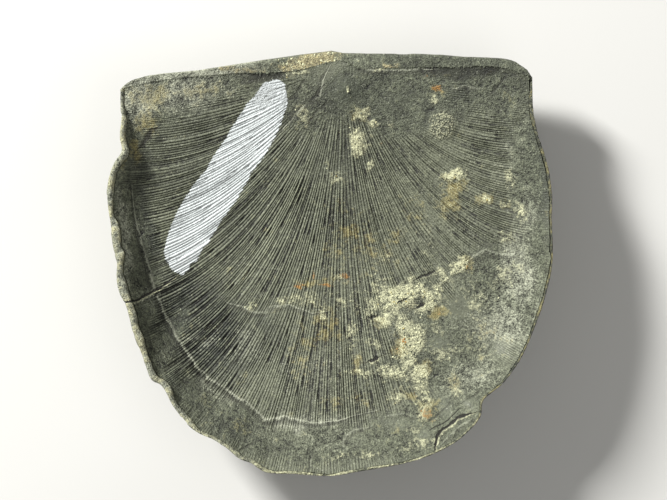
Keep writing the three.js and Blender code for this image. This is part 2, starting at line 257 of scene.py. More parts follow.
class Valve:
    """Where a valve's ribs run in plan, from its beak to its margin."""

    def __init__(self, left, right, inset_at, back_shift=0.0):
        self.inset_at = inset_at
        self.beak = np.array([left[0][0], left[0][1] + back_shift])
        self.back = {-1: self.back_line(left, -1, back_shift), 1: self.back_line(right, 1, back_shift)}

    def back_line(self, points, side, back_shift):
        moved = [(x, y + back_shift) for x, y in points]
        end, _ = self.end(np.array([float(side)]))
        return Line([*moved, tuple(end[0])])

    @staticmethod
    def outwards(share, span):
        run = MARGIN_LINE.at(np.minimum(share + span, 1)) - MARGIN_LINE.at(np.maximum(share - span, 0))
        run /= np.hypot(run[..., 0], run[..., 1])[..., None]
        return np.stack([run[..., 1], -run[..., 0]], axis=-1)

    def end(self, side):
        """Where a rib meets the margin, and the direction it arrives in."""
        share = (side + 1) / 2
        at = MARGIN_LINE.at(share)
        degrees, _ = polar(at[..., 0], at[..., 1])
        inset = self.inset_at(degrees)
        return at - self.outwards(share, EDGE_SPAN) * inset[..., None], self.outwards(share, SMOOTH_SPAN)

    def rib(self, side, along):
        end, outwards = self.end(side)
        chord = end - self.beak
        length = np.hypot(chord[..., 0], chord[..., 1])
        lean = np.arctan2(chord[..., 0], -chord[..., 1])
        wide = np.minimum(np.abs(lean / (math.pi / 2)) ** FAN_POWER, 1)
        start = lean * (FAN_NARROW + (1 - FAN_NARROW) * wide)
        pull = (PATH_PULL * length)[..., None]
        leave = self.beak + np.stack([np.sin(start), -np.cos(start)], axis=-1) * pull
        arrive = end - outwards * pull
        t = along[..., None]
        return ((1 - t) ** 3 * self.beak + 3 * (1 - t) ** 2 * t * leave
                + 3 * (1 - t) * t**2 * arrive + t**3 * end)

    def at(self, side, along):
        """Plan places for arrays of side, from -1 to 1, and along, from 0 at the beak to 1."""
        side, along = np.broadcast_arrays(np.asarray(side, float), np.asarray(along, float))
        ear = np.where(side < 0, -1.0, 1.0)
        edge = np.where((side < 0)[..., None], self.back[-1].at(along), self.back[1].at(along))
        miss = edge - self.rib(ear, along)
        return self.rib(side, along) + miss * smooth(np.abs(side), EAR_FROM, 1)[..., None]


class Ribs:
    """Fine ribs of even width: a new one starts wherever the gap between two has grown wide."""

    FIRST = 9
    GROWTH = 0.05  # share of the way to the margin over which a new rib reaches its height
    FLATNESS = 3.0  # the higher, the broader the crests and the narrower the grooves
    STOPS = (0.24, 0.5, 0.76)  # shoulder, groove and shoulder between two crests
    SAMPLES = 2401  # places measured across each row
    OUTERMOST = 0.97  # side of the outermost of the first ribs
    GAPS, MIDDLES = (0.88, 1.16), (0.42, 0.58)  # spread of the widest gap, and of a new rib's place in it
    FIRST_HEIGHTS, HEIGHTS = (0.9, 1.15), (0.75, 1.1)
    LOW_SHARE, LOW_HEIGHT = 0.2, 0.55  # some new ribs stay low

    def __init__(self, valve, alongs, widest_gap, seed):
        rng = np.random.default_rng(seed)
        sides = np.linspace(-1, 1, self.SAMPLES)
        self.sides = np.linspace(-self.OUTERMOST, self.OUTERMOST, self.FIRST)
        self.starts = np.full(self.FIRST, -1.0)
        self.heights = rng.uniform(*self.FIRST_HEIGHTS, self.FIRST)
        for along in alongs:
            reach = self.reach(valve.at(sides, np.full(len(sides), along)))
            where = np.interp(self.sides, sides, reach)
            wide = np.flatnonzero(np.diff(where) > widest_gap * rng.uniform(*self.GAPS, len(where) - 1))
            gaps = self.sides[wide + 1] - self.sides[wide]
            middle = self.sides[wide] + gaps * rng.uniform(*self.MIDDLES, len(wide))
            low = rng.random(len(wide)) < self.LOW_SHARE
            heights = np.where(low, self.LOW_HEIGHT, rng.uniform(*self.HEIGHTS, len(wide)))
            self.sides = np.insert(self.sides, wide + 1, middle)
            self.starts = np.insert(self.starts, wide + 1, along)
            self.heights = np.insert(self.heights, wide + 1, heights)

    @staticmethod
    def reach(row):
        """Distance along a row of places."""
        return np.concatenate([[0], np.cumsum(np.hypot(*np.diff(row, axis=0).T))])

    def columns(self):
        """Sides of a grid's columns: two on each rib's shoulders and one in the groove beside it."""
        stops = np.concatenate([[-1], self.sides, [1]])
        between = stops[:-1, None] + np.diff(stops)[:, None] * np.array(self.STOPS)
        return np.concatenate([[-1], between.ravel(), [1]])

    def profile(self, valve, columns, alongs, half_width):
        """Height of the ribs, 0 to about 1, over a grid of columns and rows."""
        grid = np.zeros((len(alongs), len(columns)))
        for row, along in enumerate(alongs):
            reach = self.reach(valve.at(columns, np.full(len(columns), along)))
            alive = self.starts < along
            where = np.interp(self.sides[alive], columns, reach)
            grown = self.heights[alive] * smooth(along - self.starts[alive], 0, self.GROWTH)
            after = np.clip(np.searchsorted(where, reach), 1, len(where) - 1)
            half_gap = np.clip((where[after] - where[after - 1]) / 2, 1e-6, half_width)
            for near in (after - 1, after):
                away = np.minimum(np.abs(reach - where[near]) / half_gap, 1)
                grid[row] = np.maximum(grid[row], (1 - away**self.FLATNESS) * grown[near])
        return grid


def inset_less(gap_at):
    """Inset of the dished valve's ragged edge from the outline, less a gap."""
    def inset(degrees):
        ragged = 1 + 0.4 * FINE.layers(degrees, 0 * degrees, 5, 3)
        return value_at(VALVE_INSET, degrees) * ragged - gap_at(degrees)
    return inset


# Lines of the dished valve, in pixels of the photograph: points, then half width in millimetres and strength
BEND_LINE = [(130, 183), (132, 205), (135, 223), (142, 250), (148, 270), (154, 292), (164, 315), (173, 333),
             (186, 353), (198, 370), (210, 381), (232, 395), (247, 404), (256, 413), (265, 421), (285, 418),
             (314, 425), (339, 422), (351, 418), (377, 412)]
RIDGES = [
    (BEND_LINE, 0.13, 1),
    ([(344, 451), (343, 444), (347, 436), (355, 431), (372, 428)], 0.1, 0.55),
    ([(332, 61), (324, 78), (320, 94), (306, 104), (294, 116), (287, 123), (277, 136)], 0.11, 0.9),
    ([(353, 63), (360, 67), (376, 69), (396, 69), (420, 68), (440, 68)], 0.1, 0.7),
    ([(311, 450), (311, 470)], 0.07, 0.8),
    ([(452, 88), (466, 85), (481, 88)], 0.09, 0.6),
    ([(468, 262), (476, 256), (487, 250), (499, 254), (511, 255), (526, 252)], 0.12, 0.6),
    ([(219, 297), (227, 304), (240, 307), (252, 313), (265, 314), (268, 308), (279, 307), (290, 306),
      (297, 309), (312, 314), (330, 312)], 0.1, 0.75),
    ([(214, 262), (236, 262), (262, 268), (290, 270)], 0.08, 0.25),
    ([(384, 418), (402, 415), (418, 419)], 0.1, 0.4),
    ([(120, 305), (132, 304), (146, 299), (160, 289), (174, 281)], 0.07, 0.7),
    ([(440, 446), (452, 434), (464, 424), (476, 418)], 0.09, 0.6),
    ([(189, 118), (200, 121)], 0.08, 0.5),
    ([(500, 290), (506, 316), (498, 336), (484, 352)], 0.09, 0.35),
    ([(452, 330), (466, 326), (482, 332)], 0.08, 0.3),
    ([(520, 200), (514, 224), (520, 246)], 0.09, 0.3),
]
CLEFTS = [
    ([(108, 300), (119, 301), (127, 302), (137, 300), (150, 293), (161, 286), (170, 280), (180, 272)],
      0.095, 1),
    ([(436, 456), (435, 447), (437, 438), (442, 431), (450, 425), (458, 419), (466, 415), (476, 413)],
      0.12, 1),
    ([(416, 280), (427, 275), (438, 271)], 0.12, 0.9),
    ([(398, 304), (409, 298)], 0.13, 1),
    ([(416, 309), (427, 304)], 0.13, 1),
    ([(368, 363), (380, 358)], 0.14, 1),
    ([(369, 320), (377, 316)], 0.12, 0.9),
    ([(156, 127), (150, 131), (145, 137), (142, 143), (137, 148)], 0.26, 0.8),
    ([(491, 94), (498, 86), (506, 76)], 0.16, 0.6),
    ([(306, 76), (300, 84), (296, 92), (287, 100), (282, 110)], 0.13, 0.5),
    ([(326, 82), (319, 88), (314, 98), (308, 103), (302, 112)], 0.14, 0.55),
    ([(328, 97), (323, 105), (316, 110), (311, 119), (304, 126)], 0.13, 0.55),
    ([(330, 108), (320, 120)], 0.12, 0.5),
    ([(288, 128), (274, 150)], 0.12, 0.45),
    ([(301, 96), (292, 110), (284, 118)], 0.1, 0.45),
    ([(178, 376), (184, 384), (190, 382)], 0.1, 0.5),
    ([(196, 386), (206, 393), (216, 396)], 0.09, 0.4),
    ([(236, 452), (250, 446), (258, 436)], 0.1, 0.4),
    ([(424, 425), (436, 418), (448, 408), (456, 398)], 0.09, 0.4),
    ([(403, 392), (412, 402), (418, 414)], 0.08, 0.35),
    ([(464, 402), (476, 396), (484, 386)], 0.09, 0.4),
]
GROWTH_STEPS = [
    ([(205, 288), (219, 297), (227, 304), (245, 310), (262, 315), (268, 308), (290, 306), (299, 311),
      (330, 316)], 0.35, 0.07),
    ([(236, 130), (262, 160), (300, 172), (345, 168)], 0.4, 0.03),
    ([(172, 300), (190, 330), (214, 356), (250, 378)], 0.4, 0.04),
    ([(420, 190), (440, 250), (430, 300)], 0.4, 0.03),
]

# Patches, in pixels: middle, half sizes, turn in degrees, strength
CRUSTS = [
    (404, 296, 32, 12, 12, 1.05), (428, 308, 14, 8, 30, 0.85), (412, 342, 18, 14, 50, 1.15),
    (392, 374, 17, 9, -5, 0.95), (420, 373, 13, 11, 30, 0.85), (385, 322, 9, 9, 0, 0.75),
    (462, 265, 15, 8, 30, 0.9), (357, 140, 12, 17, 15, 0.8), (362, 112, 9, 6, 25, 0.9),
    (375, 120, 7, 5, 0, 0.85), (391, 123, 4, 3, 0, 0.8), (372, 163, 5, 7, 20, 0.85),
    (458, 174, 14, 6, 10, 0.85), (434, 100, 5, 9, 0, 0.7), (350, 89, 3, 4, 0, 0.9),
    (326, 164, 5, 4, 0, 0.7), (336, 177, 9, 5, -30, 0.75), (336, 196, 4, 4, 0, 0.6),
    (452, 198, 15, 20, -20, 0.35), (486, 198, 7, 6, 0, 0.7), (505, 205, 7, 5, 0, 0.75),
    (440, 290, 14, 7, 40, 0.7), (400, 400, 10, 6, 20, 0.6), (412, 430, 10, 6, 0, 0.5),
    (323, 316, 6, 9, 10, 0.65), (352, 330, 8, 8, 0, 0.65), (376, 345, 10, 8, 20, 0.6),
    (340, 282, 12, 6, 20, 0.5), (300, 300, 40, 10, 5, 0.5), (250, 308, 20, 7, 20, 0.5),
    (395, 398, 14, 10, 40, 0.45), (425, 415, 10, 12, 20, 0.6), (512, 180, 8, 12, 10, 0.6),
    (522, 214, 8, 18, 0, 0.55), (510, 236, 10, 10, 0, 0.5), (508, 276, 24, 14, 40, 0.5),
    (460, 392, 16, 10, 30, 0.45), (384, 260, 10, 6, 20, 0.45), (367, 300, 12, 16, 0, 0.5),
    (430, 250, 14, 12, 30, 0.4), (440, 355, 26, 14, 30, 0.45), (480, 300, 18, 26, 20, 0.4),
    (302, 114, 12, 14, 30, 0.5), (295, 72, 18, 6, 10, 0.6), (380, 70, 14, 4, 0, 0.5),
    (420, 444, 30, 8, 15, 0.5), (360, 456, 40, 5, 6, 0.5), (392, 312, 14, 20, -30, 0.75),
    (404, 326, 12, 16, 20, 0.75), (372, 308, 16, 12, 40, 0.6), (426, 292, 30, 10, -25, 0.7),
    (444, 276, 16, 8, -40, 0.7), (384, 292, 14, 20, 40, 0.6), (408, 360, 12, 18, 0, 0.75),
    (420, 388, 10, 16, 20, 0.65), (428, 404, 8, 12, 20, 0.6), (350, 300, 20, 8, 0, 0.45),
    (352, 350, 8, 16, 0, 0.45), (360, 372, 20, 10, 0, 0.4), (438, 330, 10, 8, 40, 0.5),
]
OCHRES = [
    (436, 314, 13, 8, 20, 0.9), (401, 346, 9, 14, 10, 1), (384, 321, 9, 9, 0, 0.8),
    (424, 368, 12, 10, 0, 0.8), (454, 196, 14, 22, -10, 0.8), (486, 198, 9, 7, 0, 0.8),
    (506, 205, 8, 6, 0, 0.7), (470, 262, 10, 9, 20, 0.9), (455, 175, 10, 5, 15, 0.8),
    (133, 148, 7, 15, 10, 0.8), (150, 96, 26, 18, 10, 0.6), (142, 122, 14, 14, 0, 0.6),
    (196, 90, 34, 12, 8, 0.45), (320, 283, 32, 5, 0, 0.7), (360, 112, 10, 7, 20, 0.8),
    (375, 120, 7, 5, 0, 0.7), (350, 240, 30, 38, 0, 0.4), (302, 350, 16, 44, 0, 0.4),
    (330, 330, 14, 26, 0, 0.5), (420, 214, 18, 14, 20, 0.45), (118, 160, 5, 9, 0, 0.8),
    (322, 318, 8, 10, 0, 0.7), (357, 366, 8, 10, 0, 0.65), (390, 246, 34, 18, 40, 0.4),
    (350, 400, 34, 18, 0, 0.3), (430, 412, 14, 12, 30, 0.7), (455, 385, 12, 10, 0, 0.6),
    (410, 396, 10, 8, 0, 0.7), (410, 300, 34, 14, 12, 0.5), (485, 340, 20, 30, -30, 0.35),
    (240, 430, 24, 10, -30, 0.4), (205, 402, 14, 12, -40, 0.3), (510, 95, 10, 16, 0, 0.3),
    (390, 430, 20, 8, 0, 0.3), (357, 140, 10, 14, 15, 0.6), (300, 116, 14, 14, 0, 0.35),
    (440, 90, 14, 8, 0, 0.4),
]
RUSTS = [
    (299, 286, 8, 4, 0, 0.9), (325, 286, 13, 3.5, -5, 0.85), (313, 277, 4, 7, 0, 0.8),
    (346, 277, 4, 8, 45, 1), (439, 87, 8, 5, 0, 0.8), (381, 142, 4, 3, 0, 0.8), (430, 416, 9, 10, 30, 0.7),
    (456, 384, 5, 7, 0, 0.7), (416, 395, 5, 5, 0, 0.7), (472, 266, 6, 6, 0, 0.65),
    (441, 314, 6, 5, 0, 0.65), (398, 350, 5, 8, 20, 0.65), (335, 176, 5, 5, 0, 0.65),
    (297, 336, 3, 8, 10, 0.6), (181, 101, 8, 6, 0, 0.5), (426, 74, 7, 4, 0, 0.5), (210, 92, 5, 6, 0, 0.5),
    (490, 334, 9, 18, -30, 0.45), (476, 372, 14, 8, 30, 0.45), (403, 342, 6, 6, 0, 0.5),
]
# Painted shade: patches darkened where slopes, grooves and pits of the shell lie in shade
SHADE_PATCHES = [
    (192, 325, 40, 56, 35, 1.35), (170, 300, 18, 26, 20, 0.9), (143, 235, 12, 66, 6, 1),
    (142, 325, 12, 40, -22, 0.8), (365, 85, 9, 9, 0, 0.6), (266, 330, 9, 34, 20, 0.45),
    (236, 372, 24, 14, 30, 0.45), (282, 358, 11, 36, 8, 0.4), (215, 426, 18, 13, 30, 0.5),
    (245, 440, 18, 12, 30, 0.5), (157, 133, 8, 5, 40, 0.6), (190, 270, 30, 14, -40, 0.4),
    (437, 80, 5, 4, 0, 0.5), (488, 92, 8, 7, 30, 0.5), (262, 160, 18, 34, -30, 0.45),
    (404, 150, 28, 16, 25, 0.35), (300, 110, 20, 20, 0, 0.45), (330, 215, 60, 24, 0, 0.25),
    (240, 225, 22, 50, -28, 0.5), (146, 168, 14, 24, 0, 0.5), (190, 175, 34, 34, 0, 0.3),
    (350, 150, 40, 26, 0, 0.3), (350, 105, 24, 16, 0, 0.3), (500, 210, 14, 24, 0, 0.2),
    (358, 90, 50, 26, 5, 1.1), (420, 104, 60, 28, 10, 0.75), (480, 88, 60, 20, 3, 0.8),
    (178, 375, 14, 34, -38, 0.7), (226, 424, 54, 16, -32, 0.9), (200, 130, 60, 30, 0, 0.25),
    (540, 160, 14, 84, 0, 1), (300, 446, 60, 14, 5, 0.45), (505, 130, 30, 40, 0, 0.3),
    (156, 350, 10, 40, -28, 0.6), (450, 60, 90, 10, 3, 0.6), (230, 65, 60, 8, -8, 0.2),
]
# Paler patches: painted light on slopes and edges that face the light, and a whitish film
LIT_AND_PALE_PATCHES = [
    (520, 270, 20, 44, 5, 0.75), (500, 330, 34, 34, -20, 0.68), (470, 380, 40, 24, 30, 0.55),
    (322, 440, 46, 18, 0, 0.3), (270, 432, 34, 14, 12, 0.25), (245, 346, 16, 22, 20, 0.5),
    (340, 395, 40, 18, 0, 0.35), (425, 235, 60, 30, 20, 0.2), (505, 160, 20, 40, 0, 0.3),
    (525, 120, 9, 34, 0, 0.25), (138, 95, 20, 28, 0, 1), (206, 340, 14, 5, 45, 0.6),
    (188, 346, 12, 4, 45, 0.6), (121, 235, 7, 70, 5, 0.9), (124, 320, 5, 36, -14, 0.6),
    (400, 330, 22, 18, 30, 0.4), (165, 350, 8, 20, -28, 0.3), (405, 310, 34, 26, 10, 0.35),
    (180, 92, 50, 20, 8, 0.8), (312, 427, 42, 4, 2, 0.8), (310, 370, 44, 30, 0, 0.35),
    (526, 215, 10, 34, 0, 0.5), (230, 66, 70, 6, -8, 0.6), (212, 388, 26, 8, -35, 0.5),
    (300, 422, 50, 7, 0, 0.5), (540, 320, 8, 30, -15, 0.5),
]
SMOOTH_FACETS = [
    (463, 307, 17, 11, 10, 1), (440, 343, 14, 10, 20, 1), (446, 410, 9, 10, 0, 0.9),
    (425, 437, 10, 8, 20, 0.9), (470, 404, 9, 6, 0, 0.8), (396, 425, 18, 7, -5, 0.8),
    (346, 88, 16, 16, 0, 1), (425, 375, 6, 6, 0, 0.5), (500, 350, 12, 9, 0, 0.5), (358, 442, 10, 7, 0, 0.5),
    (400, 100, 26, 14, 20, 0.5), (455, 420, 12, 8, 30, 0.6),
]
WORN = [
    (505, 290, 46, 54, 20, 1), (542, 290, 16, 76, 6, 1), (452, 360, 62, 44, -35, 1),
    (420, 430, 70, 28, 15, 1), (330, 446, 60, 20, 0, 0.9), (238, 425, 60, 22, -32, 0.8),
    (132, 245, 17, 84, 8, 1), (140, 315, 14, 50, -14, 1), (158, 352, 15, 56, -28, 1),
    (192, 394, 22, 22, -40, 0.9), (150, 92, 60, 30, 5, 0.95), (200, 84, 54, 20, 5, 0.8),
    (305, 105, 26, 30, 30, 1), (348, 90, 26, 30, 0, 1), (400, 90, 64, 30, 0, 0.95),
    (500, 92, 38, 26, 0, 0.9), (415, 300, 34, 18, 10, 0.7), (405, 345, 18, 22, 0, 0.5),
    (358, 140, 12, 18, 0, 0.5), (396, 118, 34, 18, 0, 0.8), (128, 120, 14, 34, 0, 0.9),
    (528, 170, 18, 66, 0, 0.9), (395, 372, 24, 12, 0, 0.6), (450, 110, 30, 18, 0, 0.6),
    (262, 96, 20, 16, 0, 0.8),
]
LUMPY = [
    (140, 95, 24, 28, 0, 1), (128, 140, 10, 22, 0, 0.8), (180, 100, 40, 20, 0, 0.5),
    (524, 190, 14, 60, 0, 1), (512, 250, 20, 30, 0, 0.7), (500, 90, 22, 14, 0, 0.7),
    (300, 115, 20, 20, 0, 0.7), (440, 330, 60, 50, 40, 0.5), (480, 350, 40, 30, 40, 0.6),
    (420, 400, 40, 20, 10, 0.6), (230, 430, 40, 16, -32, 0.5), (130, 250, 8, 60, 8, 0.6),
    (150, 350, 8, 40, -25, 0.6), (430, 95, 30, 12, 0, 0.5),
]
# Stronger ribs: higher relief, and stronger painted highlight and shade on their crests and grooves
BOLD_RIBS = [
    (192, 325, 38, 54, 35, 1.3), (170, 300, 18, 26, 20, 1), (300, 230, 60, 50, 0, 0.5),
    (340, 340, 50, 60, 0, 0.4),
]
ROCKY = [
    (308, 60, 36, 9, 12, 1), (235, 68, 50, 5, -8, 0.55), (392, 66, 12, 5, 0, 0.5),
]
WART = (443, 124, 12, 13)
PAINT_OUTLINE = [
    (276, 68), (275, 76), (271, 80), (264, 80), (257, 91), (247, 102), (237, 116), (223, 140), (213, 155),
    (205, 168), (194, 182), (185, 195), (178, 207), (173, 218), (168, 230), (165, 240), (162, 253),
    (165, 262), (171, 270), (181, 275), (187, 270), (189, 264), (197, 260), (198, 252), (205, 245),
    (214, 230), (222, 217), (237, 197), (251, 171), (262, 156), (269, 146), (280, 125), (284, 112),
    (287, 103), (286, 92), (284, 82), (278, 78), (278, 68),
]


def distance_to(x, y, points):
    """Distance from each place to a broken line, how far along it that is, and on which side."""
    best = np.full(np.shape(x), 1e9)
    along = np.zeros(np.shape(x))
    side = np.ones(np.shape(x))
    count = len(points) - 1
    for k in range(count):
        (ax, ay), (bx, by) = points[k], points[k + 1]
        run = (bx - ax) ** 2 + (by - ay) ** 2
        t = np.clip(((x - ax) * (bx - ax) + (y - ay) * (by - ay)) / run, 0, 1)
        distance = np.hypot(x - ax - t * (bx - ax), y - ay - t * (by - ay))
        turn = np.where((bx - ax) * (y - ay) - (by - ay) * (x - ax) < 0, -1.0, 1.0)
        nearer = distance < best
        best = np.where(nearer, distance, best)
        along = np.where(nearer, (k + t) / count, along)
        side = np.where(nearer, turn, side)
    return best, along, side


def line_marks(x, y, lines):
    """Signed distance in half widths to lines finer than the rows, and strength, for the finishes to draw."""
    nearest = np.full(np.shape(x), LINE_REACH)
    offset = np.full(np.shape(x), FAR_OFFSET)
    strength = np.zeros(np.shape(x))
    for pixels, half_width, share in lines:
        distance, along, side = distance_to(x, y, [plan(*p) for p in pixels])
        closer = distance < nearest
        nearest = np.where(closer, distance, nearest)
        taper = 0.25 + 0.75 * smooth(np.minimum(along, 1 - along), 0, 0.25)
        offset = np.where(closer, distance * side / half_width / taper, offset)
        strength = np.where(closer, share, strength)
    return offset, strength * (1 - smooth(nearest, 0.9, LINE_REACH - 0.1))


def near_line(x, y, pixels, half_width):
    """1 on a line given in pixels, falling to 0 beside it, and thinning out at its ends."""
    wander = (FINE.at(x, y, 0.9) - 0.5) * 0.35
    distance, along, _ = distance_to(x + wander, y - wander, [plan(*p) for p in pixels])
    ends = smooth(np.minimum(along, 1 - along), -0.05, 0.08)
    return np.exp(-((distance / half_width) ** 2)) * ends


def in_patches(x, y, patches, ragged=0.35):
    """How strongly each place lies in a list of ragged oval patches given in pixels."""
    found = np.zeros(np.shape(x))
    shake_x = MIDDLE.layers(x, y, 1.6) * ragged
    shake_y = MIDDLE.layers(y, x, 1.6) * ragged
    for px, py, half_x, half_y, turn, strength in patches:
        cx, cy = plan(px, py)
        c, s = math.cos(math.radians(turn)), math.sin(math.radians(turn))
        dx, dy = x - cx + shake_x, y - cy + shake_y
        u = (dx * c + dy * s) / (half_x * PHOTO_MM)
        v = (dy * c - dx * s) / (half_y * PHOTO_MM)
        found = np.maximum(found, strength * np.exp(-((u * u + v * v) ** 1.3)))
    return found


def paint_edge(x, y):
    """Distance inside the painted strip, in millimetres; negative outside it."""
    corners = [plan(*p) for p in PAINT_OUTLINE]
    distance, _, _ = distance_to(x, y, [*corners, corners[0]])
    crossings = np.zeros(np.shape(x), int)
    for (ax, ay), (bx, by) in zip(corners, [*corners[1:], corners[0]]):
        spans = (ay > y) != (by > y)
        crossings += spans & (x < ax + (bx - ax) * (y - ay) / (by - ay if by != ay else 1e-9))
    return np.clip(np.where(crossings % 2 == 1, distance, -distance), -1.5, 1.5)


def dished_height(x, y):
    """Upper surface of the dished valve without its ribs: disc, bend and trail."""
    degrees, _, from_edge = place_in(x, y)
    off_centre = ((x - CENTRE[0]) / DISC_HALF[0]) ** 2 + ((y - CENTRE[1]) / DISC_HALF[1]) ** 2
    from_umbo = np.hypot(x - UMBO_PLACE[0], y - UMBO_PLACE[1]) / UMBO_RADIUS
    disc = DISC_LOW + DISC_RISE * off_centre + UMBO_HEIGHT * np.exp(-(from_umbo**2))
    width = value_at(TRAIL_WIDTH, degrees)
    climb = np.clip((width - from_edge) / width, 0, 1) ** TRAIL_POWER
    ridge = BEND_HEIGHT * np.exp(-(((from_edge - width) / BEND_HALF_WIDTH) ** 2))
    rim = value_at(EDGE_HEIGHT, degrees) - VALVE_DROP
    return disc + value_at(TRAIL_SHARE, degrees) * (np.maximum(rim - disc, 0) * climb + ridge)


def dished_underside(x, y):
    _, _, from_edge = place_in(x, y)
    thickness = EDGE_THICKNESS + (SHELL_THICKNESS - EDGE_THICKNESS) * smooth(from_edge, *THINNING)
    return dished_height(x, y) - thickness


def rounded_height(x, y):
    """Lower surface of the rounded valve without its ribs, down to the flat spot."""
    degrees, share, _ = place_in(x, y)

    def swell(part):
        return sum(most * part**power for most, power in (GENTLE_SWELL, STEEP_SWELL))

    top = value_at(EDGE_HEIGHT, degrees) - RIM_BAND
    return top * np.maximum(swell(np.minimum(share, 1)) - swell(FLAT_SPOT), 0)


def dished_outline():
    """The dished valve in plan."""
    return Valve(HINGE_LEFT, HINGE_RIGHT, inset_less(lambda degrees: 0))


def rounded_outline(inset=0.0):
    """The rounded valve in plan, drawn in by so many millimetres."""
    return Valve(BACK_LEFT, BACK_RIGHT, lambda degrees: np.full(np.shape(degrees), inset), -inset)


def wart_relief(x, y):
    """A small round swelling covered in fine beads."""
    px, py, half_x, half_y = WART
    cx, cy = plan(px, py)
    share = np.hypot((x - cx) / (half_x * PHOTO_MM), (y - cy) / (half_y * PHOTO_MM))
    return np.exp(-(share**3))


def dished_relief(x, y):
    """Unevenness of the dished valve besides its ribs, in millimetres."""
    facets = in_patches(x, y, SMOOTH_FACETS, 0.2)
    lumpy = in_patches(x, y, LUMPY, 0.6)
    relief = COARSE.layers(x, y, 5, 2) * 0.16 + MIDDLE.layers(x, y, 1.8, 3) * 0.05
    lumps = MIDDLE.layers(y, x, 2.4, 3) * 0.3 + FINE.layers(x, y, 0.8, 2) * 0.1
    relief += (1 - 0.8 * facets) * lumpy * lumps
    crust = in_patches(x, y, CRUSTS)
    relief += smooth(crust, 0.4, 0.9) * (0.04 + 0.1 * FINE.at(y, x, 0.7))
    for pixels, half_width, depth in GROWTH_STEPS:
        relief -= near_line(x, y, pixels, half_width) * depth
    return relief + wart_relief(x, y) * 0.3


def dished_top(x, y):
    """Upper surface of the dished valve without its ribs, with all its unevenness."""
    return dished_height(x, y) + dished_relief(x, y)


def put_mark_values(mesh, values):
    """Stores named values on the vertices, for the finishes to read."""
    for name, array in values.items():
        attribute = mesh.attributes.get(name) or mesh.attributes.new(name, "FLOAT", "POINT")
        attribute.data.foreach_set("value", np.ascontiguousarray(array, np.float32))


def read_mark_values(mesh, name):
    values = np.zeros(len(mesh.vertices), np.float32)
    mesh.attributes[name].data.foreach_get("value", values)
    return values.astype(float)


def deselect():
    for obj in bpy.context.selected_objects:
        obj.select_set(False)


class Fan:
    """A grid laid out as a fan: columns along the ribs, rows from the beak to the margin."""

    def __init__(self, name, columns, alongs):
        self.columns, self.alongs = columns, alongs
        across, down = len(columns) - 1, len(alongs) - 1
        deselect()
        bpy.ops.mesh.primitive_grid_add(x_subdivisions=across, y_subdivisions=down, size=2)
        self.obj = bpy.context.active_object
        self.obj.name = self.obj.data.name = name
        spots = np.zeros(len(self.obj.data.vertices) * 3, np.float32)
        self.obj.data.vertices.foreach_get("co", spots)
        spots = spots.reshape(-1, 3).astype(float)
        self.column = np.round((spots[:, 0] + 1) / 2 * across).astype(int)
        self.row = np.round((spots[:, 1] + 1) / 2 * down).astype(int)
        put_mark_values(self.obj.data, {"side": columns[self.column], "along": alongs[self.row]})

    def places(self, valve):
        """Plan place of each vertex."""
        return valve.at(self.columns[self.column], self.alongs[self.row]).T

    def set_places(self, x, y, z):
        spots = np.stack([x, y, z], axis=-1) * MM * FIT
        self.obj.data.vertices.foreach_set("co", np.ascontiguousarray(spots.ravel(), np.float32))
        self.obj.data.update()

    def extrude_border(self, rings):
        """Extrudes the open border ring by ring; each ring gives places for arrays of side and along."""
        bpy.context.view_layer.objects.active = self.obj
        bpy.ops.object.mode_set(mode="EDIT")
        bpy.ops.mesh.select_mode(type="EDGE")
        mesh = bmesh.from_edit_mesh(self.obj.data)
        for edge in mesh.edges:
            edge.select_set(edge.is_boundary)
        bmesh.update_edit_mesh(self.obj.data)
        for places in rings:
            bpy.ops.mesh.extrude_edges_move()
            mesh = bmesh.from_edit_mesh(self.obj.data)
            side_layer = mesh.verts.layers.float["side"]
            along_layer = mesh.verts.layers.float["along"]
            ring = [v for v in mesh.verts if v.select]
            side = np.array([v[side_layer] for v in ring])
            along = np.array([v[along_layer] for v in ring])
            for vertex, spot in zip(ring, np.stack(places(side, along), axis=-1) * MM * FIT):
                vertex.co = spot
            bmesh.update_edit_mesh(self.obj.data)
        bpy.ops.mesh.merge(type="CENTER")
        bpy.ops.object.mode_set(mode="OBJECT")

    def close_up(self, crowded_to=0.3, crowded_mm=0.035, same_mm=0.0004):
        """Welds the beak, thins the crowded columns near it and turns the faces outwards."""
        bpy.context.view_layer.objects.active = self.obj
        bpy.ops.object.mode_set(mode="EDIT")
        bpy.ops.mesh.select_mode(type="VERT")
        bpy.ops.mesh.select_all(action="SELECT")
        bpy.ops.mesh.remove_doubles(threshold=same_mm * MM)
        mesh = bmesh.from_edit_mesh(self.obj.data)
        along_layer = mesh.verts.layers.float["along"]
        for vertex in mesh.verts:
            vertex.select_set(vertex[along_layer] < crowded_to)
        mesh.select_flush_mode()
        bmesh.update_edit_mesh(self.obj.data)
        bpy.ops.mesh.remove_doubles(threshold=crowded_mm * MM)
        bpy.ops.mesh.select_all(action="SELECT")
        bpy.ops.mesh.normals_make_consistent(inside=False)
        bpy.ops.object.mode_set(mode="OBJECT")
        self.obj.select_set(True)
        bpy.ops.object.shade_smooth_by_angle(angle=math.radians(SHARP_DEGREES))


def ribbed_fan(name, valve, rows, seed, sizes):
    """A fan whose columns follow a valve's ribs, and the height of the ribs on its vertices."""
    alongs = np.linspace(0, 1, rows + 1) ** ROW_POWER
    ribs = Ribs(valve, alongs, sizes.rib_gap / MM, seed)
    fan = Fan(name, ribs.columns(), alongs)
    profile = ribs.profile(valve, fan.columns, alongs, sizes.rib_width / MM)
    return fan, profile[fan.row, fan.column]


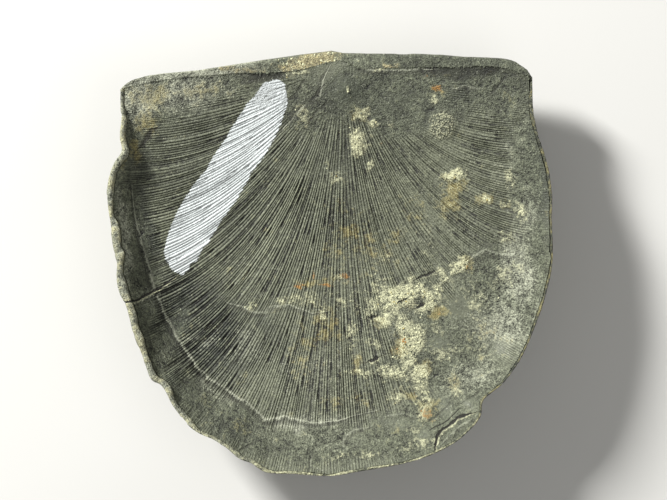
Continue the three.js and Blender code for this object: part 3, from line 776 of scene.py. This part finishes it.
class Value:
    """A number that varies over a surface: an expression on it adds Math nodes."""

    def __init__(self, finish, socket):
        self.finish = finish
        self.socket = socket

    def maths(self, operation, *others):
        sockets = dict(enumerate(others))
        node = self.finish.node("ShaderNodeMath", {"operation": operation}, sockets)
        return Value(self.finish, node.outputs[0])

    def __add__(self, other):
        return self.maths("ADD", self, other)

    def __sub__(self, other):
        return self.maths("SUBTRACT", self, other)

    def __mul__(self, other):
        return self.maths("MULTIPLY", self, other)

    def __rsub__(self, other):
        return self.maths("SUBTRACT", other, self)

    __radd__ = __add__
    __rmul__ = __mul__

    def between(self, low, high):
        """0 at low and before it, 1 at high and past it, with a soft step between."""
        settings = {"interpolation_type": "SMOOTHSTEP"}
        node = self.finish.node("ShaderNodeMapRange", settings, {"Value": self, 1: low, 2: high})
        return Value(self.finish, node.outputs[0])

    def size(self):
        """The number without its sign."""
        return self.maths("ABSOLUTE", self)


class Finish:
    """One procedural material and its nodes."""

    def __init__(self, name):
        self.material = bpy.data.materials.new(name)
        self.material.use_nodes = True
        self.tree = self.material.node_tree
        self.tree.nodes.clear()
        output = self.node("ShaderNodeOutputMaterial")
        self.shader = self.node("ShaderNodeBsdfPrincipled")
        self.tree.links.new(self.shader.outputs[0], output.inputs["Surface"])
        place = self.node("ShaderNodeTexCoord").outputs["Object"]
        self.place = self.brighten(place, 1 / MM)

    def node(self, kind, settings=None, sockets=None):
        """Adds a node, makes its settings, then sets or links its sockets."""
        node = self.tree.nodes.new(kind)
        for name, value in (settings or {}).items():
            setattr(node, name, value)
        for name, value in (sockets or {}).items():
            value = value.socket if isinstance(value, Value) else value
            if isinstance(value, bpy.types.NodeSocket):
                self.tree.links.new(value, node.inputs[name])
            else:
                node.inputs[name].default_value = value
        return node

    def noise(self, size, detail=3.0, rough=0.55):
        """Noise about 0, mostly between -1 and 1, whose largest lumps are about size millimetres across."""
        sockets = {"Vector": self.place, "Scale": 1 / size, "Detail": detail, "Roughness": rough}
        return (Value(self, self.node("ShaderNodeTexNoise", {}, sockets).outputs["Fac"]) - 0.5) * 4

    def cells(self, size):
        """Distance to the middle of the nearest cell, in cells about size millimetres across."""
        node = self.node("ShaderNodeTexVoronoi", {}, {"Vector": self.place, "Scale": 1 / size})
        return Value(self, node.outputs["Distance"])

    def mark(self, name):
        """A value stored on the vertices."""
        node = self.node("ShaderNodeAttribute", {"attribute_name": name, "attribute_type": "GEOMETRY"})
        return Value(self, node.outputs["Fac"])

    def mix(self, below, above, share):
        """One colour over another by a share."""
        settings = {"data_type": "RGBA", "clamp_factor": True}
        node = self.node("ShaderNodeMix", settings, {0: share, 6: self.colour(below), 7: self.colour(above)})
        return node.outputs[2]

    def brighten(self, colour, factor):
        """A colour, or any vector, times a number."""
        node = self.node("ShaderNodeVectorMath", {"operation": "SCALE"}, {0: colour, "Scale": factor})
        return node.outputs[0]

    @staticmethod
    def colour(value):
        """A colour as the Mix node takes it: a socket as it is, three numbers with a full alpha."""
        return value if isinstance(value, bpy.types.NodeSocket) else (*value, 1)

    def finish_with(self, colour, roughness, heights):
        """Links base colour and roughness, and a bump from heights in millimetres."""
        self.tree.links.new(colour, self.shader.inputs["Base Color"])
        self.tree.links.new(roughness.socket, self.shader.inputs["Roughness"])
        total = heights[0]
        for height in heights[1:]:
            total = total + height
        bump = self.node("ShaderNodeBump", {}, {"Strength": 1.0, "Distance": MM, "Height": total})
        self.tree.links.new(bump.outputs[0], self.shader.inputs["Normal"])
        return self.material


def from_screen(red, green, blue):
    """A colour as seen on a screen, 0 to 255, turned into the light values that Blender takes."""
    return tuple(c / 12.92 if c <= 0.04045 else ((c + 0.055) / 1.055) ** 2.4 for c in
                 (red / 255, green / 255, blue / 255))


def length_setting(name, description, default):
    return FloatProperty(name=name, description=description, default=default, unit="LENGTH")


def colour_setting(name, description, screen):
    return FloatVectorProperty(name=name, description=description, subtype="COLOR", size=3, min=0, max=1,
                               default=from_screen(*screen))


class ShellSizes(bpy.types.PropertyGroup):
    rib_gap: length_setting("Widest rib gap", "Distance between ribs at which a new one starts", 0.00038)
    rib_width: length_setting("Rib half width", "From a rib's crest to its foot", 0.00017)
    rib_height: length_setting("Rib height", "Height of a rib over the groove beside it", 0.00013)
    rows: IntProperty(name="Rows", description="From the dished valve's beak to its margin", default=72)
    lower_rows: IntProperty(name="Lower rows", description="The same of the rounded valve", default=36)
    grains: IntProperty(name="Grains", description="Loose grains of rock and crust", default=1400)


class ShellColours(bpy.types.PropertyGroup):
    stone: colour_setting("Stone", "Grey olive of the shell", (100, 103, 84))
    # Painted shade: the dark mark mixes this colour in where the shell lies in shade
    shade: colour_setting("Shade", "Darker stone of the left side", (48, 52, 42))
    # Painted shade: darkens the grooves between the ribs
    groove: colour_setting("Groove", "Dirt between the ribs", (28, 29, 19))
    # Painted highlight: lightens the tops of the ribs
    crest: colour_setting("Crest", "Rubbed tops of the ribs", (146, 150, 126))
    worn: colour_setting("Worn shell", "Rubbed areas without ribs", (94, 98, 80))
    # Whitish film, also laid by the pale mark as painted light on slopes and edges that face the light
    film_and_painted_light: colour_setting("Veil", "Whitish film over worn shell", (168, 170, 150))
    crust: colour_setting("Crust", "Cream crust", (208, 208, 170))
    ochre: colour_setting("Ochre", "Yellow stain", (158, 145, 88))
    rust: colour_setting("Rust", "Orange stain", (160, 112, 48))
    paint: colour_setting("Paint", "White paint of the strip", (200, 205, 203))
    rock: colour_setting("Rock", "Sandy rock along the back edge", (156, 148, 112))
    # Painted shade in clefts, in pits and at the foot of ridges
    recess_shade: colour_setting("Pit", "Deep clefts and pits", (26, 24, 16))


class StageSettings(bpy.types.PropertyGroup):
    camera_height: length_setting("Camera height", "Height of the camera over the rim", 0.42)
    floor_size: length_setting("Floor size", "Width of the floor", 1.6)
    floor_colour: colour_setting("Floor", "Pale floor", (206, 205, 200))


class ShellFinish(Finish):
    """The worn stone of both valves, built up from its marks."""

    def __init__(self, name, colours):
        super().__init__(name)
        self.colours = {key: tuple(getattr(colours, key)) for key in ShellColours.__annotations__}
        self.broad = self.noise(6.0, 2.0)
        self.mottle = self.noise(1.2, 5.0, 0.65)
        self.flecks = self.noise(0.4, 4.0, 0.7)
        self.grain = self.noise(0.15, 2.0, 0.6)
        self.rough = self.mark("rough")
        self.heights = [(self.mottle * 0.035 + self.flecks * 0.035 + self.grain * 0.02) * self.rough]
        # The dark mark mixes in the shade colour as painted shade; the broad noise adds a random tone
        shade_and_tone = self.mark("dark") * 1.1 + self.broad * 0.15
        self.ground = self.mix(self.colours["stone"], self.colours["shade"], shade_and_tone)

    def over(self, name, share):
        """Lays one of the named colours over what is there."""
        self.ground = self.mix(self.ground, self.colours[name], share)

    def wear(self):
        """Rubbed shell, and the whitish film on it, which the pale mark also lays as painted light on slopes
        and edges that face the light.
        """
        # Worn colour gives way where the dark mark lays painted shade, so the shade stays
        self.over("worn", self.mark("worn") * (1 - 0.4 * self.mark("dark")) * (0.75 + 0.3 * self.mottle))
        film = self.mark("pale") + self.mottle * 0.18 + self.flecks * 0.18 + self.grain * 0.2
        self.over("film_and_painted_light", film.between(0.15, 1.15) * 0.8)

    def ribs(self):
        """Painted highlight on the crests and painted shade in the grooves."""
        rib = self.mark("rib") + self.flecks * 0.22 + self.grain * 0.15
        strength = self.mark("rib_strength") * (1 + 0.45 * self.mottle)
        # Painted shade in the grooves and painted highlight on the crests, over the ribs' real relief
        depth = (1 - rib) * (0.7 + 0.3 * strength)
        self.over("groove", depth.between(0.36, 0.82) * strength)
        self.over("crest", rib.between(0.6, 1.2) * strength * 0.35)

    def grit(self):
        """Fine light and dark specks all over."""
        grit = 0.24 * self.mottle + 0.36 * self.flecks + 0.32 * self.grain
        self.ground = self.brighten(self.ground, 1 + grit * self.rough)
        specks = self.noise(0.22, 1.0)
        self.over("film_and_painted_light", specks.between(0.62, 0.95) * 0.5)
        # Dark specks: painted shade in small pits
        self.over("recess_shade", specks.between(-0.68, -0.95) * 0.5)

    def stains(self):
        blots = self.mottle * 0.5 + self.flecks * 0.4
        self.over("ochre", (self.mark("ochre") + blots).between(0.25, 1.0) * 0.65)
        crusted = (self.mark("crust") + self.mottle * 0.35 + self.flecks * 0.35).between(0.3, 0.85)
        self.over("crust", crusted * (0.8 + 0.7 * self.flecks + 0.6 * self.grain))
        rusted = (self.mark("rust") + blots).between(0.6, 0.95)
        self.over("rust", rusted * 0.75)
        self.heights.append(crusted * (0.08 + 0.06 * self.flecks))
        return crusted

    def lines(self):
        """Fine light ridges with painted shade at their foot, and clefts filled with painted shade, with a
        painted highlight on one lip, drawn by their distance.
        """
        wander = self.flecks * 0.9 + self.mottle * 1.1
        offset, share = self.mark("ridge_offset") + wander, self.mark("ridge_share")
        ridge = offset.size().between(1.5, 0.2) * share
        # foot: painted shade beside the ridge
        foot = offset.between(-1.0, -2.0) * offset.between(-6.0, -3.0) * share
        self.over("recess_shade", foot * (0.5 + 0.3 * self.mottle))
        self.over("film_and_painted_light", ridge * (0.6 + 0.4 * self.mottle + 0.4 * self.flecks))
        offset = self.mark("cleft_offset") + wander
        share = self.mark("cleft_share")
        # cleft: painted shade inside the cleft, over a real dent
        cleft = offset.size().between(1.5, 0.6) * share
        # The lip: painted highlight on one side of the cleft, in the crust colour, over a real low rise
        highlit_lip = offset.between(-1.0, -1.5) * offset.between(-3.2, -2.2) * share.between(0.8, 1.0)
        self.over("crust", highlit_lip * (0.5 + 0.6 * self.flecks + 0.4 * self.grain))
        self.over("recess_shade", cleft)
        self.heights += [ridge * 0.05, highlit_lip * 0.04, cleft * -0.12]

    def painted(self):
        """White paint brushed across the ribs: thin over their crests' edges, and thinner in the grooves,
        where their painted shade shows through.
        """
        rib = self.mark("rib")
        ragged = self.flecks * 0.14 + self.grain * 0.06 + (rib - 0.5) * 0.12
        inside = (self.mark("paint") + ragged).between(-0.03, 0.04)
        cover = (rib * 1.2 + self.flecks * 0.35 + self.grain * 0.2 + self.mottle * 0.15).between(-0.15, 0.4)
        share = inside * (0.4 + 0.56 * cover)
        self.over("paint", share)
        self.heights.append(inside * 0.02)
        return inside


def dished_finish(colours):
    """Finish of the dished valve."""
    finish = ShellFinish("brachial shell", colours)
    finish.wear()
    finish.ribs()
    finish.grit()
    crusted = finish.stains()
    finish.lines()
    inside = finish.painted()
    bead = finish.cells(0.21).between(0.7, 0.2) * finish.mark("wart").between(0.1, 0.5)
    finish.over("crust", bead * 0.6)
    finish.heights.append(bead * 0.12)
    roughness = 0.65 + 0.12 * finish.flecks + crusted * 0.15 - inside * 0.1
    return finish.finish_with(finish.ground, roughness, finish.heights)


def rounded_finish(colours):
    """Finish of the rounded valve: worn pale rim, paler still on the left with painted highlight and darker
    on the right with painted shade, sandy back edge, ribbed underside.
    """
    finish = ShellFinish("pedicle shell", colours)
    finish.wear()
    finish.ribs()
    rock = (finish.mark("rock") + finish.mottle * 0.4 + finish.flecks * 0.3).between(0.3, 0.8)
    finish.over("rock", rock)
    finish.grit()
    crusted = finish.stains()
    finish.lines()
    finish.heights.append(rock * (finish.flecks + finish.grain) * 0.07)
    roughness = 0.7 + 0.1 * finish.flecks + crusted * 0.1
    return finish.finish_with(finish.ground, roughness, finish.heights)


def grain_finish(colours):
    """Finish of the loose grains, cream to ochre and orange."""
    finish = ShellFinish("grains", colours)
    tint = finish.mark("tint")
    finish.ground = finish.mix(finish.colours["crust"], finish.colours["ochre"], tint.between(0.3, 0.8))
    finish.over("rust", tint.between(1.2, 1.6))
    finish.over("worn", tint.between(-0.4, -0.6))
    finish.grit()
    return finish.finish_with(finish.ground, 0.75 + 0.1 * finish.flecks, finish.heights)


def attach(obj, material, nodes=()):
    """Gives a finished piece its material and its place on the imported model."""
    obj.data.materials.clear()
    obj.data.materials.append(material)
    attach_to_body(obj, "root")
    if nodes:
        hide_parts(*nodes)


def dished_marks(x, y, rib):
    """Marks of the dished valve's upper surface."""
    worn = smooth(in_patches(x, y, WORN, 0.9), 0.12, 0.8)
    crust = in_patches(x, y, CRUSTS)
    facets = in_patches(x, y, SMOOTH_FACETS, 0.2)
    broken = np.zeros(len(x))
    for pixels, half_width, _ in GROWTH_STEPS:
        broken = np.maximum(broken, near_line(x, y, pixels, half_width))
    _, _, from_edge = place_in(x, y)
    beak_x, beak_y = HINGE_LEFT[0]
    from_beak = np.hypot(x - beak_x, y - beak_y)
    strength = (1 - WORN_AWAY * worn) * (1 - 0.5 * broken) * (0.55 + 0.45 * smooth(from_edge, 0.4, 1.8))
    strength *= (1 - 0.5 * smooth(crust, 0.4, 0.9)) * (1 - facets) * smooth(from_beak, 3.0, 6.5)
    strength *= 0.72 + 0.4 * COARSE.at(x, y, 3.1) + 0.35 * (FINE.at(x, y, 0.8) - 0.5)
    wart = wart_relief(x, y)
    strength *= (1 - wart) * (1 + 0.6 * in_patches(x, y, BOLD_RIBS, 0.6))
    ridge_offset, ridge_share = line_marks(x, y, RIDGES)
    cleft_offset, cleft_share = line_marks(x, y, CLEFTS)
    # dark: painted shade from the patches of painted shade, weaker where worn, and a darker tone on smooth
    # facets
    dark = in_patches(x, y, SHADE_PATCHES, 0.9) * (1 - 0.3 * worn) + 0.3 * facets
    return {
        "rib": np.clip(rib, 0, 1), "rib_strength": np.clip(strength, 0, 1.7), "paint": paint_edge(x, y),
        "rough": 0.8 + 1.6 * worn - 1.9 * facets,
        "crust": crust, "ochre": in_patches(x, y, OCHRES, 0.6), "rust": in_patches(x, y, RUSTS, 0.15),
        # pale: painted light on slopes and edges that face the light, and a whitish film
        "worn": worn, "dark": dark, "pale": in_patches(x, y, LIT_AND_PALE_PATCHES, 0.9) * (1 - 0.7 * facets),
        "ridge_offset": ridge_offset, "ridge_share": ridge_share,
        "cleft_offset": cleft_offset, "cleft_share": cleft_share, "wart": wart,
    }


class SHELL_OT_dished_valve(bpy.types.Operator):
    """Models the dished upper valve: a ribbed fan of shell with its bend, trail, marks and edge"""

    bl_idname = "fossil.dished_valve"
    bl_label = "Dished valve"

    def execute(self, context):
        sizes = context.scene.shell_sizes
        valve = dished_outline()
        fan, profile = ribbed_fan("brachial_shell", valve, sizes.rows, DISHED_SEED, sizes)
        x, y = fan.places(valve)
        marks = dished_marks(x, y, profile)
        bumps = (profile - 0.5) * marks["rib_strength"] * sizes.rib_height / MM
        fan.set_places(x, y, np.minimum(dished_top(x, y) + bumps, DISHED_HIGHEST_MM))
        put_mark_values(fan.obj.data, marks)
        fan.extrude_border(self.edge_rings(valve))
        fan.close_up()
        attach(fan.obj, dished_finish(context.scene.shell_colours), ["brachial_valve"])
        return {"FINISHED"}

    @staticmethod
    def edge_rings(valve):
        """The rounded edge, then the hidden underside closing in on its middle."""
        def edge(outset, drop):
            def ring(side, along):
                x, y = valve.at(side, along).T
                _, radius = polar(x, y)
                x, y = towards_centre(x, y, (radius + outset) / radius)
                return x, y, np.minimum(dished_top(x, y), DISHED_HIGHEST_MM) - drop
            return ring

        def underside(share):
            def ring(side, along):
                x, y = towards_centre(*valve.at(side, along).T, share)
                return x, y, dished_underside(x, y)
            return ring

        return [*(edge(*ring) for ring in EDGE_RINGS), *(underside(share) for share in UNDERSIDE_SHARES)]


class SHELL_OT_rounded_valve(bpy.types.Operator):
    """Models the rounded lower valve: ribbed underside, chipped rim, back edge and the other's seat"""

    bl_idname = "fossil.rounded_valve"
    bl_label = "Rounded valve"

    def execute(self, context):
        sizes = context.scene.shell_sizes
        wall = rounded_outline(BAND_INSET)
        fan, profile = ribbed_fan("pedicle_shell", wall, sizes.lower_rows, ROUNDED_SEED, sizes)
        x, y = fan.places(wall)
        _, share, _ = place_in(x, y)
        lifted = smooth(share, FLAT_SPOT, 0.62)
        growth = 0.5 + 0.5 * np.sin(share * GROWTH_SWING + 2 * COARSE.at(x, y, 6))
        relief = lifted * (0.05 * growth + 0.16 * COARSE.at(x, y, 3.2) + 0.05 * FINE.at(x, y, 0.6))
        bumps = profile * sizes.rib_height / MM * 0.8 * smooth(share, FLAT_SPOT, 0.5)
        fan.set_places(x, y, rounded_height(x, y) + relief + bumps)
        put_mark_values(fan.obj.data, self.marks(x, y, profile, lifted))
        fan.extrude_border(self.rim_rings())
        self.mark_rim(fan.obj.data)
        fan.close_up()
        attach(fan.obj, rounded_finish(context.scene.shell_colours), ["pedicle_valve"])
        return {"FINISHED"}

    @staticmethod
    def marks(x, y, profile, lifted):
        """Marks of the underside."""
        zero = np.zeros(len(x))
        return {
            "rib": np.clip(profile, 0, 1), "rib_strength": 0.35 + 0.4 * lifted,
            "dark": 0.5 * smooth(COARSE.at(x, y, 5.3), 0.45, 0.8), "pale": 0.4 * (1 - lifted),
            "ochre": 0.6 * smooth(COARSE.at(y, x, 4.1), 0.55, 0.8), "rust": zero,
            "crust": 0.6 * smooth(MIDDLE.at(x, y, 2.7), 0.7, 0.95), "worn": 0.3 * (1 - lifted), "rock": zero,
            "ridge_offset": zero + FAR_OFFSET, "ridge_share": zero,
            "cleft_offset": zero + FAR_OFFSET, "cleft_share": zero,
            "rough": zero + 1,
        }

    @staticmethod
    def rim_rings():
        """The upright band, the rounded crown of the rim or the back edge, and the seat inside it."""
        outline = rounded_outline()
        seat = Valve(HINGE_LEFT, HINGE_RIGHT, inset_less(lambda degrees: value_at(VALVE_GAP, degrees)), 0.012)

        def edge_height(x, y):
            degrees, _ = polar(x, y)
            return value_at(EDGE_HEIGHT, degrees)

        def chips(x, y):
            large, small = CHIP_DEPTHS
            return large * smooth(MIDDLE.layers(x, y, 1.5, 3), 0, 0.5) + small * FINE.at(x, y, 0.4)

        def band(inset, drop):
            def ring(side, along):
                x, y = outline.at(side, along).T
                _, radius = polar(x, y)
                x, y = towards_centre(x, y, 1 - (inset + 0.6 * chips(x, y)) / radius)
                return x, y, edge_height(x, y) - drop - chips(x, y)
            return ring

        def crown(share):
            def ring(side, along):
                outer = outline.at(side, along)
                inner = seat.at(side, along)
                x, y = (outer + (inner - outer) * share).T
                back = smooth(y, 17.2, 17.9) * (along < 0.9999)
                outer_top = edge_height(*outer.T)
                hinge = dished_top(*inner.T) + 0.02
                flat = outer_top + (hinge - outer_top) * share
                rim = outer_top - 0.2 * (2 * share - 0.8) ** 2
                rough = 0.12 * FINE.layers(x, y, 0.6, 2) * (1 - share**4)
                top = rim + (flat - rim) * back - chips(x, y) * (1 - back) + rough
                return x, y, np.minimum(top, HIGHEST_MM)
            return ring

        def seat_wall(drop):
            def ring(side, along):
                x, y = seat.at(side, along).T
                return x, y, np.minimum(dished_height(x, y), edge_height(x, y)) - drop
            return ring

        def floor(share):
            def ring(side, along):
                x, y = towards_centre(*seat.at(side, along).T, share)
                return x, y, dished_underside(x, y) - HIDDEN_GAP
            return ring

        bands = [band(*ring) for ring in BAND_RINGS]
        crowns = [crown(share) for share in CROWN_SHARES]
        walls = [seat_wall(drop) for drop in SEAT_DROPS]
        return [*bands, *crowns, *walls, *(floor(share) for share in FLOOR_SHARES)]

    @staticmethod
    def mark_rim(mesh):
        """Colours of the rim and of the back edge, on the vertices that the extrusion added, with painted
        highlight on the left of the rim and painted shade on its right.
        """
        spots = np.zeros(len(mesh.vertices) * 3, np.float32)
        mesh.vertices.foreach_get("co", spots)
        x, y, z = spots.reshape(-1, 3).astype(float).T / MM / FIT
        top = value_at(EDGE_HEIGHT, polar(x, y)[0])
        rim = smooth(z, top - 1.2, top - 0.2)
        # Painted highlight: the left of the rim faces the light and is laid paler
        lit_left_rim = smooth(-x, 4, 10) * rim
        back = rim * smooth(y, 17.3, 18.3)
        names = ("rib_strength", "pale", "dark", "ochre", "worn")
        old = {name: read_mark_values(mesh, name) for name in names}
        cleft_offset, cleft_share = line_marks(x, y, CLEFTS[:1])
        rocky = in_patches(x, y, ROCKY)
        # Painted shade: the right of the rim faces away from the light and is laid darker
        shaded_right_rim = rim * smooth(x, 10, 18) * (1 - back)
        right_back = 0.6 * back * smooth(x, 2, 6)
        put_mark_values(mesh, {
            "rib_strength": old["rib_strength"] * (1 - rim), "rough": 1 + 0.8 * rim,
            "worn": np.maximum(old["worn"], rim * 0.8 - lit_left_rim * 0.6),
            "pale": np.clip(old["pale"] + 0.75 * lit_left_rim + 0.1 * rim, 0, 1),
            "dark": old["dark"] * (1 - rim) + shaded_right_rim + right_back,
            "ochre": old["ochre"] * (1 - rim) + 0.45 * rim * (1 - back),
            "crust": rim * (0.3 + 0.25 * smooth(-y, 10, 18) - 0.3 * smooth(x, 12, 18)) * (1 - back),
            "rock": rocky * back, "cleft_offset": cleft_offset, "cleft_share": cleft_share * rim,
        })


class SHELL_OT_grains(bpy.types.Operator):
    """Scatters grains of rock and crust over the crusted patches"""

    bl_idname = "fossil.grains"
    bl_label = "Grains"

    def execute(self, context):
        rng = np.random.default_rng(GRAIN_SEED)
        deselect()
        bpy.ops.mesh.primitive_ico_sphere_add(subdivisions=2, radius=1)
        obj = bpy.context.active_object
        obj.name = obj.data.name = "crust_grains"
        base = np.array([v.co[:] for v in obj.data.vertices])
        faces = np.array([f.vertices[:] for f in obj.data.polygons])
        wanted = context.scene.shell_sizes.grains
        groups = [self.on_crusts(rng, wanted), self.in_seam(rng, wanted // 2), self.on_rock(rng, wanted // 5)]
        x, y, z, tint = (np.concatenate(parts) for parts in zip(*groups))
        spots = self.lumps(rng, base, len(x)) + np.stack([x, y, z], axis=-1)[:, None, :]
        all_faces = (faces[None] + np.arange(len(x))[:, None, None] * len(base)).reshape(-1, 3)
        obj.data.clear_geometry()
        obj.data.from_pydata(spots.reshape(-1, 3) * MM * FIT, [], all_faces.tolist())
        put_mark_values(obj.data, {"tint": np.repeat(tint, len(base)), "rough": np.ones(spots.size // 3)})
        attach(obj, grain_finish(context.scene.shell_colours))
        return {"FINISHED"}

    @staticmethod
    def lumps(rng, base, count):
        """Corners of the grains about their middles, in millimetres: uneven, flattened and turned."""
        radius = GRAIN_LEAST + GRAIN_MORE * rng.random(count) ** 4
        sizes = radius[:, None] * rng.uniform(0.6, 1.5, (count, 3)) * (1, 1, 0.6)
        uneven = 1 + 0.18 * rng.standard_normal((count, len(base), 1)).clip(-1.5, 1.5)
        shape = base[None] * uneven * sizes[:, None, :]
        turns = rng.uniform(0, 2 * math.pi, (count, 1))
        c, s = np.cos(turns), np.sin(turns)
        across, up = shape[..., 0], shape[..., 1]
        return np.stack([across * c - up * s, across * s + up * c, shape[..., 2]], axis=-1)

    @staticmethod
    def in_seam(rng, wanted):
        """Crumbs of stone along the line between the valves."""
        along = np.where(rng.random(wanted) < 0.45, rng.random(wanted), 1.0)
        side = np.where(along < 1, np.where(rng.random(wanted) < 0.5, -1.0, 1.0), rng.uniform(-1, 1, wanted))
        x, y = dished_outline().at(side, along).T + rng.normal(0, 0.04, (2, wanted))
        return x, y, dished_top(x, y), np.full(wanted, -1.0)

    @staticmethod
    def on_rock(rng, wanted):
        """Sand grains of the rock that fills the left of the back edge."""
        along, share = rng.random(wanted) * 0.26, rng.uniform(0.15, 0.95, wanted)
        outer, inner = rounded_outline().at(-1, along), dished_outline().at(-1, along)
        x, y = (outer + (inner - outer) * share[:, None]).T
        top = value_at(EDGE_HEIGHT, polar(*outer.T)[0])
        return x, y, top + (dished_top(*inner.T) - top) * share, rng.normal(0.2, 0.3, wanted)

    @staticmethod
    def on_crusts(rng, wanted):
        """Places in the crusted patches, the more the stronger the crust, and a tint for each grain."""
        areas = np.array([half_x * half_y * strength**5 for _, _, half_x, half_y, _, strength in CRUSTS])
        counts = np.round(wanted * areas / areas.sum()).astype(int)
        found = []
        for (px, py, half_x, half_y, turn, _), count in zip(CRUSTS, counts):
            u, v = rng.standard_normal((2, count)) * 0.45 * PHOTO_MM * np.array([[half_x], [half_y]])
            c, s = math.cos(math.radians(turn)), math.sin(math.radians(turn))
            cx, cy = plan(px, py)
            found.append(np.stack([cx + u * c - v * s, cy + u * s + v * c]))
        x, y = np.concatenate(found, axis=1)
        _, _, from_edge = place_in(x, y)
        clear = (from_edge > 1.2) & (paint_edge(x, y) < -0.2)
        x, y = x[clear], y[clear]
        tint = in_patches(x, y, OCHRES) * 0.7 + 1.2 * (in_patches(x, y, RUSTS, 0.1) > 0.35)
        tint += rng.normal(0, 0.25, len(x))
        return x, y, dished_top(x, y), np.where(rng.random(len(x)) < 0.3, -1.0, tint)


class SHELL_OT_stage(bpy.types.Operator):
    """Adds the pale floor, the soft studio lights and the camera over the shell"""

    bl_idname = "fossil.stage"
    bl_label = "Stage"

    def execute(self, context):
        settings = context.scene.stage_settings
        self.floor(settings)
        self.lights()
        self.camera(context, settings)
        context.scene.view_settings.view_transform = "Standard"
        return {"FINISHED"}

    @staticmethod
    def floor(settings):
        deselect()
        bpy.ops.mesh.primitive_plane_add(size=settings.floor_size, location=(0, 0, 0))
        floor = bpy.context.active_object
        floor.name = "floor"
        finish = Finish("pale floor")
        cloud = finish.noise(60.0, 2.0)
        plain = tuple(settings.floor_colour)
        colour = finish.mix(plain, tuple(c * 0.94 for c in plain), cloud)
        floor.data.materials.append(finish.finish_with(colour, 0.85 + 0.05 * cloud, [cloud * 0.001]))

    @staticmethod
    def lights():
        for name, place, size, watts in LIGHTS:
            data = bpy.data.lights.new(name, "AREA")
            data.size = size
            data.energy = watts
            lamp = bpy.data.objects.new(name, data)
            bpy.context.scene.collection.objects.link(lamp)
            lamp.location = place
            lamp.rotation_mode = "QUATERNION"
            lamp.rotation_quaternion = lamp.location.to_track_quat("Z", "Y")
        world = bpy.data.worlds.new("soft room")
        world.use_nodes = True
        world.node_tree.nodes["Background"].inputs["Color"].default_value = (1, 1, 1, 1)
        world.node_tree.nodes["Background"].inputs["Strength"].default_value = WORLD_STRENGTH
        bpy.context.scene.world = world

    @staticmethod
    def camera(context, settings):
        """Looks straight down; the photograph's middle lies a little right of and over the origin."""
        data = bpy.data.cameras.new("camera")
        camera = bpy.data.objects.new("camera", data)
        context.scene.collection.objects.link(camera)
        middle = plan(PHOTO_SIZE[0] / 2, PHOTO_SIZE[1] / 2)
        camera.location = (middle[0] * MM, middle[1] * MM, PEDICLE_HIGH.z + settings.camera_height)
        data.lens = data.sensor_width * settings.camera_height / (PHOTO_SIZE[0] * PHOTO_MM * MM)
        data.clip_start = 0.01
        context.scene.camera = camera


class SHELL_PT_panel(bpy.types.Panel):
    """Lists the steps that make the fossil"""

    bl_label = "Fossil brachiopod"
    bl_idname = "SHELL_PT_panel"
    bl_space_type = "VIEW_3D"
    bl_region_type = "UI"
    bl_category = "Fossil"

    def draw(self, context):
        for operator in STEPS:
            self.layout.operator(operator.bl_idname)
        for group in (context.scene.shell_sizes, context.scene.shell_colours, context.scene.stage_settings):
            for name in group.__annotations__:
                self.layout.prop(group, name)


STEPS = (SHELL_OT_dished_valve, SHELL_OT_rounded_valve, SHELL_OT_grains, SHELL_OT_stage)
CLASSES = (ShellSizes, ShellColours, StageSettings, *STEPS, SHELL_PT_panel)


def register():
    for cls in CLASSES:
        bpy.utils.register_class(cls)
    bpy.types.Scene.shell_sizes = PointerProperty(type=ShellSizes)
    bpy.types.Scene.shell_colours = PointerProperty(type=ShellColours)
    bpy.types.Scene.stage_settings = PointerProperty(type=StageSettings)


def unregister():
    del bpy.types.Scene.shell_sizes
    del bpy.types.Scene.shell_colours
    del bpy.types.Scene.stage_settings
    for cls in reversed(CLASSES):
        bpy.utils.unregister_class(cls)


def main():
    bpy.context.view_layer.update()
    register()
    bpy.ops.fossil.dished_valve()
    bpy.ops.fossil.rounded_valve()
    bpy.ops.fossil.grains()
    bpy.ops.fossil.stage()
    deselect()


if __name__ == "__main__":
    main()
